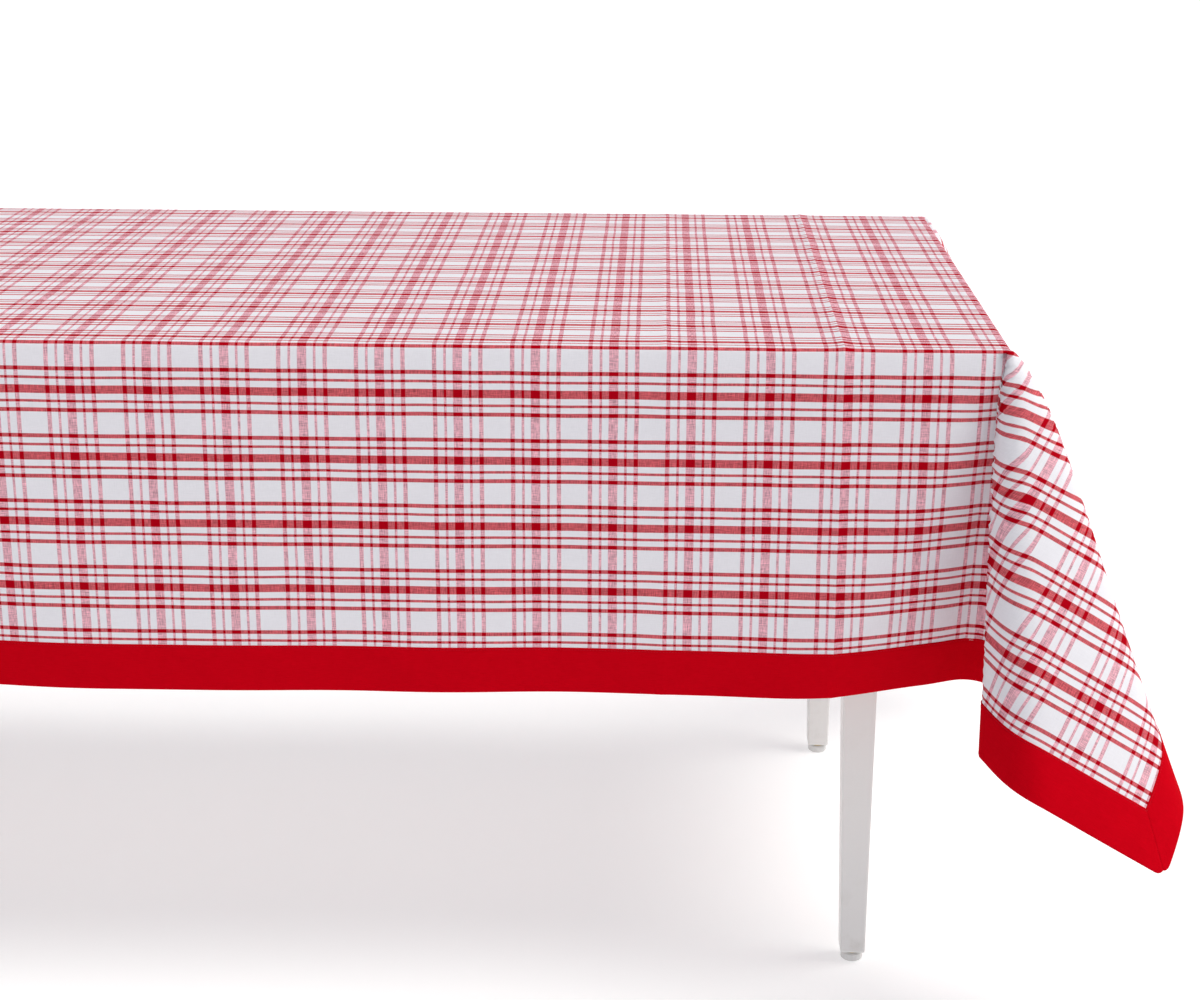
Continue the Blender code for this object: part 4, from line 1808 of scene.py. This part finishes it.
@dataclass
class Tablecloth:
    """The cut and sewn cloth on the table.

    Attributes:
        width: of the cut cloth, edge to edge; not used.
        length: of the cut cloth; not used.
        border: the bands' width.
    """

    width: float = 1.524
    length: float = 2.591
    border: float = 0.0508

    def drape(self) -> Drape:
        """Drapes the cloth on this table.

        The cloth at each corner is folded much like the others, but not quite.

        Returns:
            The cloth's lie.
        """
        low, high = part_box("table_top")
        side_start = ((-40.0, -0.3), (-25.0, -0.8))
        end_start = ((-40.0, 0.2), (-25.0, 1.5))
        folds = {
            Corner.FRONT_RIGHT: CornerFold(
                side_start + ((-12.0, -5.7), (-3.0, -8.7), (2.3, -5.9), (2.2, 1.1), (2.0, 5.6),
                              (-1.4, 10.5), (-2.5, 14.0), (5.4, 20.5)),
                end_start + ((-12.0, 3.8), (-3.0, 6.4), (4.7, 7.8), (-1.9, 11.6), (-8.5, 14.1),
                             (-6.5, 21.0), (10.5, 25.3)),
            ),
            Corner.FRONT_LEFT: CornerFold(
                side_start + ((-12.0, -5.0), (-3.0, -7.6), (2.5, -5.2), (2.6, 1.2), (2.2, 6.2),
                              (-0.4, 11.4), (-0.8, 15.2), (6.6, 21.6)),
                end_start + ((-12.0, 4.2), (-3.0, 7.0), (4.2, 8.2), (-2.2, 11.8), (-8.0, 15.0),
                             (-5.6, 21.2), (9.8, 24.8)),
                billow=0.014,
            ),
            Corner.BACK_RIGHT: CornerFold(
                side_start + ((-12.0, -5.2), (-3.0, -7.2), (2.8, -5.0), (2.4, 1.6), (1.8, 6.8),
                              (-0.8, 12.0), (-1.0, 16.0), (6.8, 22.2)),
                end_start + ((-12.0, 3.4), (-3.0, 6.0), (4.4, 7.6), (-1.6, 11.2), (-7.6, 14.4),
                             (-5.8, 20.6), (9.6, 24.4)),
                slump=0.033,
            ),
            Corner.BACK_LEFT: CornerFold(
                side_start + ((-12.0, -4.8), (-3.0, -8.0), (2.6, -5.6), (2.8, 1.4), (2.4, 6.0),
                              (-0.2, 11.0), (-1.4, 15.0), (6.2, 21.2)),
                end_start + ((-12.0, 4.0), (-3.0, 6.6), (4.6, 8.0), (-2.0, 11.4), (-8.2, 14.6),
                             (-6.0, 21.2), (10.2, 25.0)),
                slump=0.035, billow=0.013,
            ),
        }
        sways = {
            Side.FRONT: ((0.62, 0.0040, 0.6), (0.37, 0.0026, 2.0), (0.21, 0.0011, 4.0)),
            Side.BACK: ((0.55, 0.0045, 3.6), (0.33, 0.0026, 0.4), (0.19, 0.0013, 1.0)),
            Side.LEFT: ((0.50, 0.0035, 1.7), (0.29, 0.0024, 5.0), (0.17, 0.0010, 2.2)),
            Side.RIGHT: ((0.47, 0.0040, 4.4), (0.31, 0.0020, 3.1), (0.18, 0.0010, 0.9)),
        }
        creases = ((high.x - 0.168, 0.0016), (high.x - 0.347, 0.0007), (low.x + 0.39, 0.0014))
        return Drape(low, high, folds, sways, creases=creases)

    def build(self) -> list[bpy.types.Object]:
        """Returns:
            The panel, then the bands, the topstitches and the mitre seams.
        """
        drape = self.drape()
        plaid, red = PlaidCotton().material(), RedCotton().material()
        thread = SewingThread().material()
        panel = PlaidPanel(drape, self.border).build(plaid)
        bands = [BorderBand(drape, side, self.border) for side in Side]
        pieces = [band.build(red) for band in bands]
        sewing = Sewing(drape, bands, self.border)
        pieces += sewing.topstitches(thread) + sewing.mitre_seams(thread)
        return [panel, *pieces]


# ---------------------------------------------------------------------------------------------
# The table and the studio
# ---------------------------------------------------------------------------------------------


@dataclass
class Table:
    """The table under the cloth, whose own nodes only get their finishes.

    Attributes:
        finishes: the finish of each of the record's material slots that isn't cloth.
    """

    finishes: dict[str, Any] = field(default_factory=lambda: {
        "white_laminate": WhiteLaminate(), "white_paint": WhitePaint(),
        "bare_wood": BareWood(), "zinc_steel": ZincPlate(), "brass": TurnedBrass(),
        "white_nylon": MouldedNylon(),
    })

    def build(self) -> None:
        """Dresses every node that isn't cloth."""
        materials = {slot: finish.material() for slot, finish in self.finishes.items()}
        for part in frame["record"]["subparts"]:
            material = materials.get(part["material_slot"])
            if material is None:
                continue
            for slot in frame["nodes"][part["node"]].material_slots:
                slot.material = material
            log.info("%s: %s", part["node"], part["material_slot"])


@dataclass
class Studio:
    """The floor, the light and the camera.

    Attributes:
        floor_size: the floor's width.
        sky: the colour of the light from all round.
        horizon: the colour that it has at the horizon.
        haze: the height above the horizon where that ends, as a sine.
        overhead: the colour of the light from above.
        overhead_strength: its strength, in watts to a square metre.
        overhead_tilt: how far it leans to the front and to the right.
        softness: the angle it comes from.
        camera_from_corner: the camera's place from the top's front right corner.
        pitch: how far the camera looks down.
        yaw: how far it looks to the left.
        roll: how far it leans.
        lens: its focal length, in millimetres.
        clip: the least and most distance that it sees.
    """

    floor_size: float = 120.0
    sky: Colour = (0.250, 0.250, 0.305)
    horizon: Colour = (0.96, 0.96, 0.97)
    haze: float = 0.30
    overhead: Colour = (1.0, 0.985, 0.93)
    overhead_strength: float = 2.95
    overhead_tilt: tuple[float, float] = (math.radians(3), math.radians(30))
    softness: float = math.radians(42)
    camera_from_corner: tuple[float, float, float] = (-0.355766, -2.094015, 0.506022)
    pitch: float = math.radians(17.666)
    yaw: float = math.radians(1.543)
    roll: float = math.radians(0.265)
    lens: float = 64.18
    clip: tuple[float, float] = (0.05, 400.0)

    def build(self) -> None:
        """Sets up the studio."""
        self._floor()
        self._light()
        self._camera()
        bpy.context.scene.view_settings.view_transform = "Standard"

    def _floor(self) -> None:
        """Lays the floor under the feet."""
        half = self.floor_size / 2
        corners = ((-1, -1, 0), (1, -1, 0), (1, 1, 0), (-1, 1, 0))
        paper = StudioFloor().material()
        floor = mesh_object(
            "studio_floor", np.array(corners) * half, np.array([(0, 1, 2, 3)]), None, paper
        )

    def _light(self) -> None:
        """Adds light from all round and a broad light from above."""
        graph = Graph("studio", world=True)
        height = graph.split(graph.node("ShaderNodeTexCoord", output="Generated"))[2]
        low = (1.0 - abs(height) / self.haze).clamped()
        bpy.context.scene.world = graph.finish(Color=graph.blend(low, self.sky, self.horizon))
        lamp = bpy.data.lights.new("overhead", "SUN")
        lamp.energy = self.overhead_strength
        lamp.color = self.overhead
        lamp.angle = self.softness
        light = bpy.data.objects.new("overhead", lamp)
        light.rotation_euler = (*self.overhead_tilt, 0)
        bpy.context.scene.collection.objects.link(light)

    def _camera(self) -> None:
        """Stands the camera in front of the table's right half."""
        low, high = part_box("table_top")
        corner = Vector((high.x, low.y, high.z))
        ahead = Vector((
            -math.sin(self.yaw) * math.cos(self.pitch),
            math.cos(self.yaw) * math.cos(self.pitch),
            -math.sin(self.pitch),
        ))
        right = ahead.cross(Vector((0, 0, 1))).normalized()
        up = right.cross(ahead)
        turned = Matrix((right, up, -ahead)).transposed() @ Matrix.Rotation(self.roll, 3, "Z")
        lens = bpy.data.cameras.new("camera")
        lens.lens = self.lens
        lens.clip_start, lens.clip_end = self.clip
        camera = bpy.data.objects.new("camera", lens)
        place = corner + Vector(self.camera_from_corner)
        camera.matrix_world = Matrix.Translation(place) @ turned.to_4x4()
        bpy.context.scene.collection.objects.link(camera)
        bpy.context.scene.camera = camera


def main() -> None:
    """Builds the cloth, the table's finishes and the studio."""
    logging.basicConfig(level=logging.INFO, format="%(message)s")
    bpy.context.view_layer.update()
    Tablecloth().build()
    Table().build()
    Studio().build()


if __name__ == "__main__":
    main()
